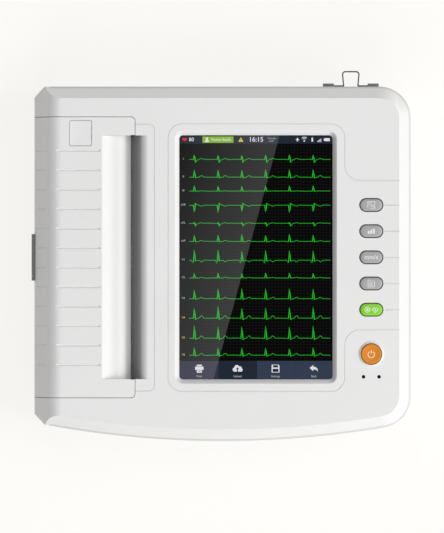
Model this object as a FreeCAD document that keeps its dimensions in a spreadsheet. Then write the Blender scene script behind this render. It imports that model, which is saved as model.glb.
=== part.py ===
import FreeCAD, Part
import math
import os
import Sketcher

# A bench-top twelve-channel ECG machine: a flat housing with a touch screen, a key row and a hinged
# paper cover over a thermal printer. X runs to the right, Y to the rear and Z up, and the machine
# stands on its feet at Z = 0. Sizes are measured from the middle of the housing. Every finished piece
# is then moved by the same small shift, so that the origin is under the middle of the whole machine,
# hinge and cord clip included.

Vector = FreeCAD.Vector

# driving dimensions

DIMENSIONS = (
    # housing
    ("case_w", 336.0, "width of the housing"),
    ("case_d", 316.0, "depth of the housing at its middle"),
    ("case_top", 74.0, "height of the top face"),
    ("case_foot", 3.0, "height of the bottom case's underside"),
    ("split", 34.0, "height of the joint between top and bottom case"),
    ("wall", 2.6, "wall thickness of the mouldings"),
    ("front_r", 864.0, "radius of the bowed front edge"),
    ("bevel", 10.4, "bevel along the rear, right and front of the top face"),
    ("base_bevel", 9.0, "bevel under the bottom case"),
    ("corner_r", 28.0, "radius of the two right corners"),
    ("clip_x", 9.5, "left corners: how far they are cut back in X"),
    ("clip_y", 9.5, "left corners: how far they are cut back in Y"),
    ("slope_run", 14.1, "left side: width of the sloping face"),
    ("slope_drop", 34.8, "left side: height of the sloping face"),
    ("slope_r", 15.4, "left side: rounding into the top face"),
    ("seam", 0.4, "gap between pieces of the housing"),
    # paper cover and exit trough
    ("cover_right", -77.4, "right edge of the paper cover"),
    ("cover_front", -119.5, "front edge of the paper cover"),
    ("cover_rear", 131.1, "rear edge of the paper cover"),
    ("cover_r", 3.6, "corner radius of the paper cover"),
    ("trough_left", -107.0, "left edge of the exit trough"),
    ("trough_right", -69.0, "right edge of the exit trough"),
    ("trough_front", -102.6, "front end of the exit trough"),
    ("trough_rear", 114.3, "rear end of the exit trough"),
    ("trough_floor", 59.5, "height of the paper slot"),
    ("dip_x", -98.5, "where the exit trough's first slope ends, in X"),
    ("dip_z", 70.4, "where the exit trough's first slope ends, in Z"),
    ("brow_x", -89.5, "where the exit trough starts to fall to the slot, in X"),
    ("brow_z", 69.0, "where the exit trough starts to fall to the slot, in Z"),
    ("slot_left", -81.4, "left lip of the paper slot"),
    ("slot_right", -80.4, "right lip of the paper slot"),
    ("slot_line_x", -60.3, "engraved line to the right of the exit trough"),
    ("line_front", -113.5, "front end of the engraved lines"),
    ("line_rear", 124.8, "rear end of the engraved lines"),
    ("screen_line_x", -48.5, "engraved line to the left of the screen"),
    ("key_line_x", 108.8, "engraved line between the screen and the keys"),
    ("rib_count", 12, "grooves across the paper cover"),
    ("rib_pitch", 17.35, "distance between the grooves"),
    ("rib_left", -165.0, "left end of the grooves"),
    ("rib_right", -108.8, "right end of the grooves"),
    ("rib_width", 1.9, "width of a groove"),
    ("rib_deep", 0.8, "depth of a groove"),
    ("row_mid", 5.8, "middle of the cover, screen and key row in Y"),
    # screen
    ("glass_w", 136.3, "width of the screen window"),
    ("glass_d", 217.2, "depth of the screen window"),
    ("glass_x", 30.0, "middle of the screen in X"),
    ("glass_r", 3.2, "corner radius of the screen window"),
    ("rim", 4.0, "width of the sloping rim round the window"),
    # keys
    ("key_x", 132.7, "middle of the keys in X"),
    ("key_pitch", 23.3, "distance between the keys"),
    ("key_w", 20.4, "width of a key"),
    ("key_d", 11.2, "depth of a key"),
    ("key_proud", 1.0, "how far a key stands above the top face"),
    ("key_gap", 0.55, "gap round a key"),
    ("power_y", -80.3, "power key in Y"),
    ("power_r", 9.1, "radius of the power key"),
    ("lamp_y", -100.6, "status lamps in Y"),
    ("lamp_pitch", 13.8, "distance between the status lamps"),
    ("line_w", 0.8, "width of the engraved lines"),
    ("line_deep", 0.35, "depth of the engraved lines"),
    # printer
    ("platen_x", -88.5, "platen axis in X"),
    ("platen_z", 47.0, "platen axis in Z"),
    ("platen_r", 7.5, "radius of the rubber platen"),
    ("platen_shaft_r", 3.0, "radius of the platen's shaft"),
    ("paper_w", 210.0, "width of the paper"),
    ("roll_x", -134.0, "paper roll axis in X"),
    ("roll_z", 34.0, "paper roll axis in Z"),
    ("roll_r", 23.5, "radius of the paper roll"),
    ("core_r", 8.5, "outer radius of the paper roll's core"),
    ("gear_module", 0.8, "module of the feed gears"),
    ("platen_teeth", 20, "teeth of the platen gear"),
    ("idler_teeth", 28, "teeth of the idler gear"),
    ("pinion_teeth", 12, "teeth of the motor pinion"),
    ("gear_slack", 0.12, "extra centre distance that gives backlash"),
    ("gear_rear", 124.4, "rear face of the feed gears"),
    ("gear_w", 4.6, "face width of the feed gears"),
    # hinge
    ("hinge_x", -168.3, "hinge axis in X"),
    ("hinge_z", 38.4, "hinge axis in Z"),
    ("knuckle_r", 2.2, "outer radius of the hinge knuckles"),
    ("hinge_w", 41.6, "length of the hinge"),
    # rear connectors
    ("panel_y", 155.2, "outer face of the rear panel"),
    ("inlet_x", 114.8, "middle of the mains inlet"),
    ("inlet_z", 37.0, "middle of the mains inlet in Z"),
    ("inlet_holes", 40.0, "distance between the inlet's screws"),
    ("clip_wire_r", 0.6, "radius of the cord clip's wire"),
    ("clip_loop", 12.7, "length of the cord clip's loop"),
    ("clip_pivot_y", 158.9, "cord clip's pivot in Y"),
    ("clip_pivot_z", 50.0, "cord clip's pivot in Z"),
    # feet
    ("foot_r", 8.0, "radius of a rubber foot"),
    ("foot_x", 134.0, "feet in X"),
    ("foot_y", 118.0, "feet in Y"),
)


class Size:
    """A length that follows the sheet: the number it has now, and the expression that gives it."""

    def __init__(self, number, text=None):
        self.number = float(number)
        self.text = repr(float(number)) if text is None else text

    def _with(self, other, sign, number):
        other = size(other)
        return Size(number(self.number, other.number), f"({self.text} {sign} {other.text})")

    def __add__(self, other):
        return self._with(other, "+", lambda a, b: a + b)

    def __sub__(self, other):
        return self._with(other, "-", lambda a, b: a - b)

    def __mul__(self, other):
        return self._with(other, "*", lambda a, b: a * b)

    def __truediv__(self, other):
        return self._with(other, "/", lambda a, b: a / b)

    def __radd__(self, other):
        return size(other) + self

    def __rsub__(self, other):
        return size(other) - self

    def __rmul__(self, other):
        return size(other) * self

    def __neg__(self):
        return Size(-self.number, f"(0 - {self.text})")


def size(value):
    return value if isinstance(value, Size) else Size(value)


doc = FreeCAD.newDocument("ecg_machine")
sheet = doc.addObject("Spreadsheet::Sheet", "dims")


class Named:
    """Each driving dimension by its name, as a Size."""


d = Named()
for row, (alias, value, note) in enumerate(DIMENSIONS, 1):
    sheet.set(f"A{row}", note)
    sheet.set(f"B{row}", str(value))
    sheet.setAlias(f"B{row}", alias)
    setattr(d, alias, Size(value, f"dims.{alias}"))
doc.recompute()

# The whole machine's middle, counting the hinge on the left and the cord clip at the rear.
SHIFT_X = (0 - (d.hinge_x - d.knuckle_r) - d.case_w / 2) / 2
SHIFT_Y = (d.case_d / 2 - (d.clip_pivot_y + d.clip_loop + d.clip_wire_r)) / 2

nodes = []


def bind(item, prop, value):
    """Sets one size of an object, and ties it to the sheet."""
    item.setExpression(prop, size(value).text)


spots = {}


def place(item, x=0, y=0, z=0, rotation=None):
    """Puts an object at a spot that follows the sheet, and remembers the spot."""
    spots[item.Name] = (x, y, z, rotation)
    item.Placement = FreeCAD.Placement(Vector(0, 0, 0), rotation or FreeCAD.Rotation())
    for axis, value in zip("xyz", (x, y, z)):
        bind(item, f"Placement.Base.{axis}", value)


def node(item, label):
    """Names a finished piece, and moves it with the whole machine."""
    item.Label = label
    x, y, z, rotation = spots.get(item.Name, (0, 0, 0, None))
    place(item, SHIFT_X + x, SHIFT_Y + y, z, rotation)
    nodes.append(item)
    return item


# primitives and booleans

ALONG = {
    "x": FreeCAD.Rotation(Vector(0, 1, 0), 90),
    "y": FreeCAD.Rotation(Vector(1, 0, 0), -90),
    "z": FreeCAD.Rotation(),
}


def fresh(kind, name):
    return doc.addObject(kind, name)


def box(name, x, y, z):
    """A block between two X, two Y and two Z."""
    item = fresh("Part::Box", name)
    for prop, (low, high) in (("Length", x), ("Width", y), ("Height", z)):
        bind(item, prop, size(high) - low)
    place(item, x[0], y[0], z[0])
    return item


def rod(name, axis, radius, ends, at):
    """A cylinder along an axis between two ends, at its two other coordinates in X, Y, Z order."""
    item = fresh("Part::Cylinder", name)
    bind(item, "Radius", radius)
    bind(item, "Height", size(ends[1]) - ends[0])
    x, y, z = {
        "x": (ends[0], at[0], at[1]),
        "y": (at[0], ends[0], at[1]),
        "z": (at[0], at[1], ends[0]),
    }[axis]
    place(item, x, y, z, ALONG[axis])
    return item


def cone(name, low_radius, high_radius, heights, at):
    """An upright cone."""
    item = fresh("Part::Cone", name)
    bind(item, "Radius1", low_radius)
    bind(item, "Radius2", high_radius)
    bind(item, "Height", size(heights[1]) - heights[0])
    place(item, at[0], at[1], heights[0])
    return item


def fuse(name, *parts):
    item = fresh("Part::MultiFuse", name)
    item.Shapes = list(parts)
    return item


def cut(name, base, *tools):
    item = fresh("Part::Cut", name)
    item.Base = base
    item.Tool = tools[0] if len(tools) == 1 else fuse(name + "_tools", *tools)
    return item


def common(name, *parts):
    item = fresh("Part::MultiCommon", name)
    item.Shapes = list(parts)
    return item


def together(name, *parts):
    """Separate solids of one kind, kept as one node."""
    item = fresh("Part::Compound", name)
    item.Links = list(parts)
    return item


def tube(name, axis, outer, inner, ends, at):
    return cut(name, rod(name + "_out", axis, outer, ends, at), rod(name + "_in", axis, inner, ends, at))


# sketches and bodies

PLANES = {"xy": "XY_Plane", "xz": "XZ_Plane", "yz": "YZ_Plane"}


def new_sketch(body, name, plane, offset=0):
    """A sketch on one of the body's own origin planes, moved off it by offset."""
    sketch = body.newObject("Sketcher::SketchObject", name)
    origin = [f for f in body.Origin.OriginFeatures if f.Role == PLANES[plane]][0]
    sketch.AttachmentSupport = [(origin, "")]
    sketch.MapMode = "FlatFace"
    bind(sketch, "AttachmentOffset.Base.z", offset)
    return sketch


def constrain(sketch, name, *terms):
    """One driving dimension of a sketch, tied to the sheet."""
    *where, value = terms
    index = sketch.addConstraint(Sketcher.Constraint(*where, size(value).number))
    sketch.renameConstraint(index, name)
    bind(sketch, f"Constraints.{name}", value)


def outline(sketch, points):
    """A closed outline of straight lines, with every corner placed from the sheet."""
    count = len(points)
    corners = [Vector(size(x).number, size(y).number, 0) for x, y in points]
    for i, corner in enumerate(corners):
        sketch.addGeometry(Part.LineSegment(corner, corners[(i + 1) % count]), False)
    for i in range(count):
        sketch.addConstraint(Sketcher.Constraint("Coincident", i, 2, (i + 1) % count, 1))
    for i, (x, y) in enumerate(points):
        constrain(sketch, f"x{i}", "DistanceX", i, 1, x)
        constrain(sketch, f"y{i}", "DistanceY", i, 1, y)


def new_body(name):
    return doc.addObject("PartDesign::Body", name)


def pad(body, sketch, length, middle=False):
    item = body.newObject("PartDesign::Pad", sketch.Name + "_pad")
    item.Profile = sketch
    bind(item, "Length", length)
    item.SideType = "Symmetric" if middle else "One side"
    doc.recompute()
    return item


def edges_at(shape, wanted):
    """The names of the edges whose middle passes a test."""
    return [f"Edge{i}" for i, edge in enumerate(shape.Edges, 1) if wanted(edge, edge.BoundBox)]


def upright(x=None, y=None, reach=0.6):
    """A test for upright edges at an X, a Y or both."""

    def test(edge, span):
        stands = span.XLength < 0.01 and span.YLength < 0.01 and span.ZLength > 0.1
        near_x = x is None or abs(span.XMin - size(x).number) < reach
        near_y = y is None or abs(span.YMin - size(y).number) < reach
        return stands and near_x and near_y

    return test


def dress(kind, body, base, wanted, amount):
    """A fillet or a chamfer on the edges that pass a test."""
    item = body.newObject("PartDesign::" + kind, f"{body.Name}_{kind.lower()}_{len(body.Group)}")
    item.Base = (base, edges_at(base.Shape, wanted))
    bind(item, "Radius" if kind == "Fillet" else "Size", amount)
    doc.recompute()
    return item


def plate(name, plane, points, start, length, rounds=()):
    """A flat piece of straight outline, with some of its corners rounded.

    rounds holds pairs of a radius and a test for the edges that take it."""
    body = new_body(name)
    sketch = new_sketch(body, name + "_outline", plane, start)
    outline(sketch, points)
    feature = pad(body, sketch, length)
    for radius, wanted in rounds:
        feature = dress("Fillet", body, feature, wanted, radius)
    body.Tip = feature
    return body


def rectangle(x, y):
    return [(x[0], y[0]), (x[1], y[0]), (x[1], y[1]), (x[0], y[1])]


def across_y(name, points, y, rounds=()):
    """A profile of X and Z drawn along Y between two ends."""
    # The XZ plane's own normal points to the front, so the profile starts at the rear end.
    return plate(name, "xz", points, 0 - size(y[1]), size(y[1]) - y[0], rounds)


def pill(name, x, y, width, depth, z, top_round=None):
    """An upright stadium with its long side in X, and a rounded top edge if asked."""
    body = new_body(name)
    sketch = new_sketch(body, name + "_outline", "xy", z[0])
    outline(sketch, rectangle((size(x) - size(width) / 2, size(x) + size(width) / 2),
                              (size(y) - size(depth) / 2, size(y) + size(depth) / 2)))
    feature = pad(body, sketch, size(z[1]) - z[0])
    feature = dress("Fillet", body, feature, upright(), size(depth) / 2 - 0.01)
    if top_round:
        high = size(z[1]).number
        feature = dress("Fillet", body, feature, lambda e, s: s.ZMin > high - 0.01, top_round)
    body.Tip = feature
    return body


# housing

LEFT = 0 - d.case_w / 2
RIGHT = d.case_w / 2
REAR = d.case_d / 2
SLOPE = math.atan2(d.slope_drop.number, d.slope_run.number)


def plan_sketch(body, name, height, inset):
    """The housing from above, drawn in by inset: straight rear and sides, bowed front, cut left corners."""
    sketch = new_sketch(body, name, "xy", height)
    left, right, rear = LEFT + inset, RIGHT - inset, REAR - inset
    bow_r = d.front_r - inset
    bow_y = d.front_r - d.case_d / 2
    front_left = left + d.clip_x

    def bow(x):
        return bow_y.number - math.sqrt(bow_r.number**2 - size(x).number ** 2)

    points = [
        (left, rear - d.clip_y),
        (left + d.clip_x, rear),
        (right, rear),
        (right, Size(bow(right))),
        (front_left, Size(bow(front_left))),
        (left, Size(bow(front_left)) + d.clip_y),
    ]
    corners = [Vector(x.number, y.number, 0) for x, y in points]
    for i in range(6):
        start, end = corners[i], corners[(i + 1) % 6]
        if i == 3:
            middle = Vector(0, bow(0), 0)
            sketch.addGeometry(Part.Arc(start, middle, end), False)
        else:
            sketch.addGeometry(Part.LineSegment(start, end), False)
    # The bowed edge runs clockwise, so its first point is the left one.
    ends = {i: (1, 2) for i in range(6)}
    ends[3] = (2, 1)
    for i in range(6):
        following = (i + 1) % 6
        meeting = (i, ends[i][1], following, ends[following][0])
        sketch.addConstraint(Sketcher.Constraint("Coincident", *meeting))
    constrain(sketch, "bow_x", "DistanceX", 3, 3, 0)
    constrain(sketch, "bow_y", "DistanceY", 3, 3, bow_y)
    constrain(sketch, "bow_r", "Radius", 3, bow_r)
    for i, (x, y) in enumerate(points):
        where = (i, ends[i][0])
        constrain(sketch, f"x{i}", "DistanceX", *where, x)
        if i in (0, 1, 2):
            constrain(sketch, f"y{i}", "DistanceY", *where, y)
    sketch.addConstraint(Sketcher.Constraint("Equal", 0, 4))
    return sketch


def case_form(name, inset, low, high, bevel, bevel_below=False):
    """A half of the housing as a solid: the plan raised between two heights, with its bevels.

    The upper half also gets the sloping left side."""
    inset, high = size(inset), size(high)
    body = new_body(name)
    feature = pad(body, plan_sketch(body, name + "_plan", low, inset), high - low)
    right, rear = RIGHT - inset, REAR - inset
    at_right = upright(x=right)
    feature = dress("Fillet", body, feature, at_right, d.corner_r - inset)
    edge_z = size(low).number if bevel_below else high.number
    middle_x = LEFT.number + inset.number

    def rim_edge(edge, span):
        level = abs(span.ZMin - edge_z) < 0.01 and span.ZLength < 0.01
        return level and (bevel_below or span.XMax > middle_x + 0.5)

    feature = dress("Chamfer", body, feature, rim_edge, bevel)
    if not bevel_below:
        feature = slope_left(body, feature, inset, high)
    body.Tip = feature
    return body


def slope_left(body, feature, inset, high):
    """Cuts the sloping face on the left side, and rounds it into the top and the side."""
    run = d.slope_run + inset * (math.tan(SLOPE / 2) - 1)
    drop = d.slope_drop - inset * (1 - math.tan((math.pi / 2 - SLOPE) / 2))
    left = LEFT + inset
    sketch = new_sketch(body, body.Name + "_slope", "xz")
    beyond = 30
    outline(sketch, [(left, high - drop), (left + run, high), (left + run, high + beyond),
                     (left - beyond, high + beyond), (left - beyond, high - drop)])
    pocket = body.newObject("PartDesign::Pocket", body.Name + "_slope_cut")
    pocket.Profile = sketch
    pocket.Type = "ThroughAll"
    pocket.SideType = "Symmetric"
    pocket.Refine = True
    doc.recompute()
    before = feature.Shape.Volume
    if pocket.Shape.Volume >= before:
        raise RuntimeError(body.Name + ": the slope cut nothing")
    top_x, low_z = (left + run).number, (high - drop).number
    on_top = lambda e, s: s.YLength > 200 and abs(s.XMin - top_x) < 0.05 and s.XLength < 0.05
    feature = dress("Fillet", body, pocket, on_top, d.slope_r - inset)
    on_side = lambda e, s: s.YLength > 200 and abs(s.ZMin - low_z) < 0.05 and s.ZLength < 0.05
    return dress("Fillet", body, feature, on_side, 24 - inset)


def tall_block(name, x, y, low, radius):
    """A block with rounded upright corners that starts at a height and goes well over the housing."""
    return plate(name, "xy", rectangle(x, y), low, d.case_top - low + 8, [(radius, upright())])


def rounded_block(name, x, y, z, radius):
    """A block with rounded upright corners between two heights."""
    return plate(name, "xy", rectangle(x, y), z[0], size(z[1]) - z[0], [(radius, upright())])


def middle_span(middle, length):
    """Both ends of a length about its middle."""
    return (size(middle) - size(length) / 2, size(middle) + size(length) / 2)


CEILING = d.case_top - d.wall
FLOOR = d.case_foot + d.wall
KEY_NAMES = ("key_lead_mode", "key_gain", "key_speed", "key_report", "key_start")
KEY_ROWS = [d.row_mid + d.key_pitch * (2 - i) for i in range(5)]
LAMPS = {"left": d.key_x - d.lamp_pitch / 2, "right": d.key_x + d.lamp_pitch / 2}
TROUGH = (d.trough_front, d.trough_rear)
LINED = (d.trough_front - d.wall, d.trough_rear + d.wall)
BACKLINE = d.case_w / 2 - 10.2  # where the engraved lines meet the right bevel
SCREWS = ((-148, 143), (-148, -132), (-40, -142), (62, -142), (150, -125), (150, 118))
SCREEN_POSTS = ((-46.4, 96), (-46.4, -84), (105.6, 96), (105.6, -84))
KEY_POSTS = (68, -62, -110.5)  # posts for the keypad board, in Y
PANEL = ((-44, 140.5), (18, 56))  # opening for the rear panel, X and Z
FOOT_PLACES = {
    "front_left": (0 - d.foot_x, 0 - d.foot_y),
    "front_right": (d.foot_x, 0 - d.foot_y - 8),
    "rear_left": (0 - d.foot_x, d.foot_y),
    "rear_right": (d.foot_x, d.foot_y),
}
BUTTON = (size(-126.1), size(116.3))  # release button, X and Y
BUTTON_W = size(19.6)
BUTTON_D = size(22.3)
SPRING_AT = (size(-131.5), size(110.5))  # release button's spring, X and Y
LATCH_PIVOT = (size(-112.5), size(60))  # X and Z
STRIKER = (size(-116.7), size(41))  # X and Z
INLET_SIDES = (0 - d.inlet_holes / 2, d.inlet_holes / 2)
HINGE_STRAP_X = (-165.4, -159.6)
SLOPE_OUT = size(-0.62)  # how far off the left slope the rods stand that cut its grooves

outer_form = case_form("outer_form", 0, d.split, d.case_top, d.bevel)
inner_form = case_form("inner_form", d.wall, d.split, CEILING, d.bevel - d.wall * 0.586)
base_form = case_form("base_form", 0, d.case_foot, d.split - d.seam, d.base_bevel, True)
base_inner = case_form("base_inner", d.wall, FLOOR, d.split, d.base_bevel - d.wall * 0.586, True)


def trough_wall():
    """Right wall of the paper exit: a sloping slab with a level foot, closed at both ends."""
    foot_z = d.trough_floor - 2.5
    slab = across_y("trough_slab", [
        (d.trough_right, d.case_top),
        (d.slot_right, d.trough_floor - 1.5),
        (d.slot_right, foot_z),
        (d.slot_right + 5, foot_z),
        (d.trough_right + 3.2, d.case_top - 0.6),
        (d.trough_right + 3.2, d.case_top),
    ], TROUGH)
    ends = [box(f"trough_end_{i}", (d.cover_right, d.trough_right + 3.2), (y, size(y) + d.wall),
                (d.trough_floor, d.case_top - 0.1))
            for i, y in enumerate((LINED[0], TROUGH[1]))]
    return fuse("trough_wall", slab, *ends)


def trough_mouth():
    """The air over the right wall of the paper exit, with the rounded lip along its top."""
    lip_x = d.trough_right.number
    body = across_y("trough_mouth", [
        (d.slot_right, d.trough_floor - 1.5),
        (d.trough_right, d.case_top),
        (d.trough_right + 9, d.case_top),
        (d.trough_right + 9, d.case_top + 6),
        (d.cover_right - 15, d.case_top + 6),
        (d.cover_right - 15, d.trough_floor - 1.5),
    ], TROUGH)
    on_lip = lambda e, s: s.YLength > 100 and abs(s.XMin - lip_x) < 0.01 and s.XLength < 0.01
    body.Tip = dress("Fillet", body, body.Tip, on_lip, 6)
    return body


def screen_recess():
    """The screen window, and the rim that slopes down to it."""
    wide, deep = d.glass_w + d.rim * 2, d.glass_d + d.rim * 2
    window = tall_block("window", middle_span(d.glass_x, d.glass_w), middle_span(d.row_mid, d.glass_d),
                   CEILING - 1, d.glass_r)
    body = new_body("screen_rim")
    sketch = new_sketch(body, "screen_rim_outline", "xy", CEILING)
    outline(sketch, rectangle(middle_span(d.glass_x, wide), middle_span(d.row_mid, deep)))
    feature = dress("Fillet", body, pad(body, sketch, 12), upright(), d.glass_r + d.rim)
    low = CEILING.number
    slope = body.newObject("PartDesign::Chamfer", "screen_rim_slope")
    slope.Base = (feature, edges_at(feature.Shape, lambda e, s: s.ZMax < low + 0.01))
    slope.ChamferType = "Two distances"
    bind(slope, "Size", d.wall)
    bind(slope, "Size2", d.rim - 0.01)
    doc.recompute()
    body.Tip = slope
    return [window, body]


def engraved_lines():
    """The thin line round the screen and the key row, open at the right, and one lead from each key."""
    low = d.case_top - d.line_deep
    left, right = d.screen_line_x, d.key_line_x
    front, rear = d.line_front, d.line_rear
    key_front, key_rear = d.row_mid - 64.4, d.row_mid + 68.5

    def area(name, grow):
        body = new_body(name)
        sketch = new_sketch(body, name + "_outline", "xy", low)
        outline(sketch, [
            (left - grow, front - grow), (right + grow, front - grow), (right + grow, key_front - grow),
            (BACKLINE, key_front - grow), (BACKLINE, key_rear + grow), (right + grow, key_rear + grow),
            (right + grow, rear + grow), (left - grow, rear + grow),
        ])
        feature = pad(body, sketch, 5)
        for x in (left - grow, right + grow):
            feature = dress("Fillet", body, feature, upright(x=x), size(12.5) + grow)
        body.Tip = feature
        return body

    ring = cut("panel_line", area("line_out", d.line_w / 2), area("line_in", 0 - d.line_w / 2))
    leads = [box(f"lead_{i}", (d.key_x + d.key_w / 2 + 1, BACKLINE), middle_span(y, d.line_w),
                 (low, d.case_top + 5)) for i, y in enumerate(KEY_ROWS)]
    corner_r = size(5.5)
    line_x = d.slot_line_x
    slot = tall_block("slot_line_out", (d.cover_right - 10, line_x), (front, rear), low, corner_r)
    slot_in = tall_block("slot_line_in", (d.cover_right - 11, line_x - d.line_w),
                         (front + d.line_w, rear - d.line_w), low - 1, corner_r - d.line_w)
    right_only = box("slot_line_zone", (d.cover_right - 1, line_x + 1), (front - 1, rear + 1),
                     (low - 2, d.case_top + 9))
    return [ring, common("slot_line", cut("slot_line_ring", slot, slot_in), right_only)] + leads


def key_openings():
    """Openings for the keys, the power key and the status lamps."""
    high = (CEILING - 1, d.case_top + 6)
    items = [pill(f"key_hole_{i}", d.key_x, y, d.key_w + d.key_gap * 2, d.key_d + d.key_gap * 2, high)
             for i, y in enumerate(KEY_ROWS)]
    items.append(rod("power_hole", "z", d.power_r + d.key_gap, high, (d.key_x, d.power_y)))
    for side, x in LAMPS.items():
        items.append(rod(f"lamp_hole_{side}", "z", 1.6, high, (x, d.lamp_y)))
    return items


def rear_opening(name):
    (left, right), (low, high) = PANEL
    return box(name, (left, right), (d.case_d / 2 - 12, d.case_d / 2 + 5), (low, high))


def bay_walls(name, heights):
    """Walls at the front and rear of the paper bay."""
    front = box(name + "_front", (-163, -62), (d.cover_front - 2, d.cover_front), heights)
    rear = box(name + "_rear", (-163, -94), (d.cover_rear, d.cover_rear + 2), heights)
    return [front, rear]


def top_case():
    """Upper half of the housing: the face and its sides, open for the cover, the screen and the keys."""
    shell = cut("top_shell", outer_form, inner_form)
    cover_gap = tall_block("cover_gap", (-190, d.cover_right), (d.cover_front, d.cover_rear), 20,
                           d.cover_r + d.seam)
    opened = cut("top_opened", shell, cover_gap)
    posts = [rod(f"top_post_{i}", "z", 4.5, (d.split, CEILING + 1), at) for i, at in enumerate(SCREWS)]
    posts += [rod(f"screen_post_{i}", "z", 3.4, (61, CEILING + 1), at) for i, at in enumerate(SCREEN_POSTS)]
    posts += [rod(f"key_post_{i}", "z", 2.6, (67.6, CEILING + 1), (d.key_x, y))
              for i, y in enumerate(KEY_POSTS)]
    ribs = fuse("top_ribs", *posts, *bay_walls("bay_top", (d.split, CEILING + 1)))
    inside = common("top_inside", outer_form, ribs)
    bezel = cone("power_bezel", 11.2, 10.0, (d.case_top, d.case_top + 1.1), (d.key_x, d.power_y))
    whole = fuse("top_whole", opened, trough_wall(), inside, bezel)
    pilots = [rod(f"top_pilot_{i}", "z", 1.45, (d.split - 1, 50), at) for i, at in enumerate(SCREWS)]
    pin_hole = rod("striker_hole", "y", 2, (d.cover_rear - 1, d.cover_rear + 3), (-116.7, 41))
    openings = [trough_mouth(), rear_opening("top_rear_opening"), pin_hole]
    openings += screen_recess() + engraved_lines() + key_openings() + pilots
    node(cut("top_case_solid", whole, *openings), "top_case")


def bottom_case():
    """Lower half of the housing: floor, sides, screw posts, vents, battery opening and hinge block."""
    shell = cut("base_shell", base_form, base_inner)
    posts = [rod(f"base_post_{i}", "z", 4.5, (FLOOR - 1, d.split - d.seam), at)
             for i, at in enumerate(SCREWS)]
    ribs = bay_walls("bay_base", (FLOOR - 1, d.split - d.seam))
    block = box("hinge_block", (LEFT + 1, -159.6), middle_span(d.row_mid, d.hinge_w), (28, 35.2))
    ribs.append(box("battery_wall_left", (62, 64), (-112, -48), (FLOOR - 1, 28)))
    ribs.append(box("battery_wall_rear", (62, 152), (-50, -48), (FLOOR - 1, 28)))
    inside = common("base_inside", base_form, fuse("base_ribs", *posts, *ribs))
    lip_ring = cut("lip_ring", case_form("lip_out", d.wall + 0.15, d.split - 6, d.split + 2.4, 0.4, True),
                   case_form("lip_in", d.wall + 1.4, d.split - 7, d.split + 3, 0.4, True))
    lip_zone = box("lip_zone", (-75, 170), (-160, 160), (d.split - 6, d.split + 3))
    rear_gap = box("lip_rear_gap", (size(PANEL[0][0]) - 6, size(PANEL[0][1]) + 6), (130, 160), (20, 50))
    lip = cut("case_lip", common("lip_band", lip_ring, lip_zone), rear_gap)
    whole = fuse("base_whole", shell, inside, block, lip)
    openings = [rear_opening("base_rear_opening")]
    openings.append(box("battery_opening", (68, 146), (-108, -54), (0, FLOOR + 1)))
    openings.append(box("battery_rebate", (65.5, 148.5), (-110.5, -51.5), (0, d.case_foot + 1.4)))
    for i, at in enumerate(SCREWS):
        openings.append(rod(f"screw_clear_{i}", "z", 1.7, (0, d.split + 1), at))
        openings.append(rod(f"screw_sink_{i}", "z", 3.6, (0, 12), at))
    for i in range(9):
        openings.append(box(f"vent_{i}", (86 + i * 6, 89 + i * 6), (52, 92), (0, FLOOR + 1)))
    for i in range(7):
        openings.append(box(f"speaker_slot_{i}", (3 + i * 5, 5 + i * 5), (-128, -104), (0, FLOOR + 1)))
    for i, (x, y) in enumerate(FOOT_PLACES.values()):
        openings.append(rod(f"foot_seat_{i}", "z", d.foot_r + 0.1, (0, d.case_foot + 0.8), (x, y)))
    node(cut("bottom_case_solid", whole, *openings), "bottom_case")


def feet():
    for name, (x, y) in FOOT_PLACES.items():
        pad_part = rod(f"foot_{name}_pad", "z", d.foot_r, (1, d.case_foot + 0.8), (x, y))
        tread = cone(f"foot_{name}_tread", d.foot_r - 1, d.foot_r, (0, 1), (x, y))
        node(fuse(f"foot_{name}_solid", pad_part, tread), f"foot_{name}")


def case_screws():
    """Six screws that hold the two halves of the housing together, from below."""
    screws = []
    for i, at in enumerate(SCREWS):
        head = rod(f"case_screw_head_{i}", "z", 3, (9.6, 12), at)
        shank = rod(f"case_screw_shank_{i}", "z", 1.4, (12, 46), at)
        drive = fresh("Part::Prism", f"case_screw_drive_{i}")
        drive.Polygon = 6
        bind(drive, "Circumradius", 1.4)
        bind(drive, "Height", 1.4)
        place(drive, at[0], at[1], 9.4)
        screws.append(cut(f"case_screw_{i}", fuse(f"case_screw_blank_{i}", head, shank), drive))
    node(together("case_screws_all", *screws), "case_screws")


def battery():
    """Lithium battery pack in the bottom case, and the door that closes it in."""
    door = box("door_plate", (66, 148), (-110, -52), (d.case_foot, d.case_foot + 1.3))
    lug = box("door_lug", (68.4, 145.6), (-107.6, -54.4), (d.case_foot + 1.3, FLOOR + 0.4))
    grips = [box(f"door_grip_{i}", (95, 119), (-104 + i * 2.4, -102.8 + i * 2.4), (0, d.case_foot + 0.6))
             for i in range(4)]
    node(cut("battery_door_solid", fuse("door_blank", door, lug), *grips), "battery_door")
    pack = rounded_block("pack_block", (68.6, 145.4), (-107, -55), (FLOOR + 0.5, 26), 2.5)
    contacts = [box(f"pack_contact_{i}", (74 + i * 6, 77 + i * 6), (-55.4, -54.6), (14, 20))
                for i in range(5)]
    node(fuse("battery_pack_solid", pack, *contacts), "battery_pack")


# paper cover


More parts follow.
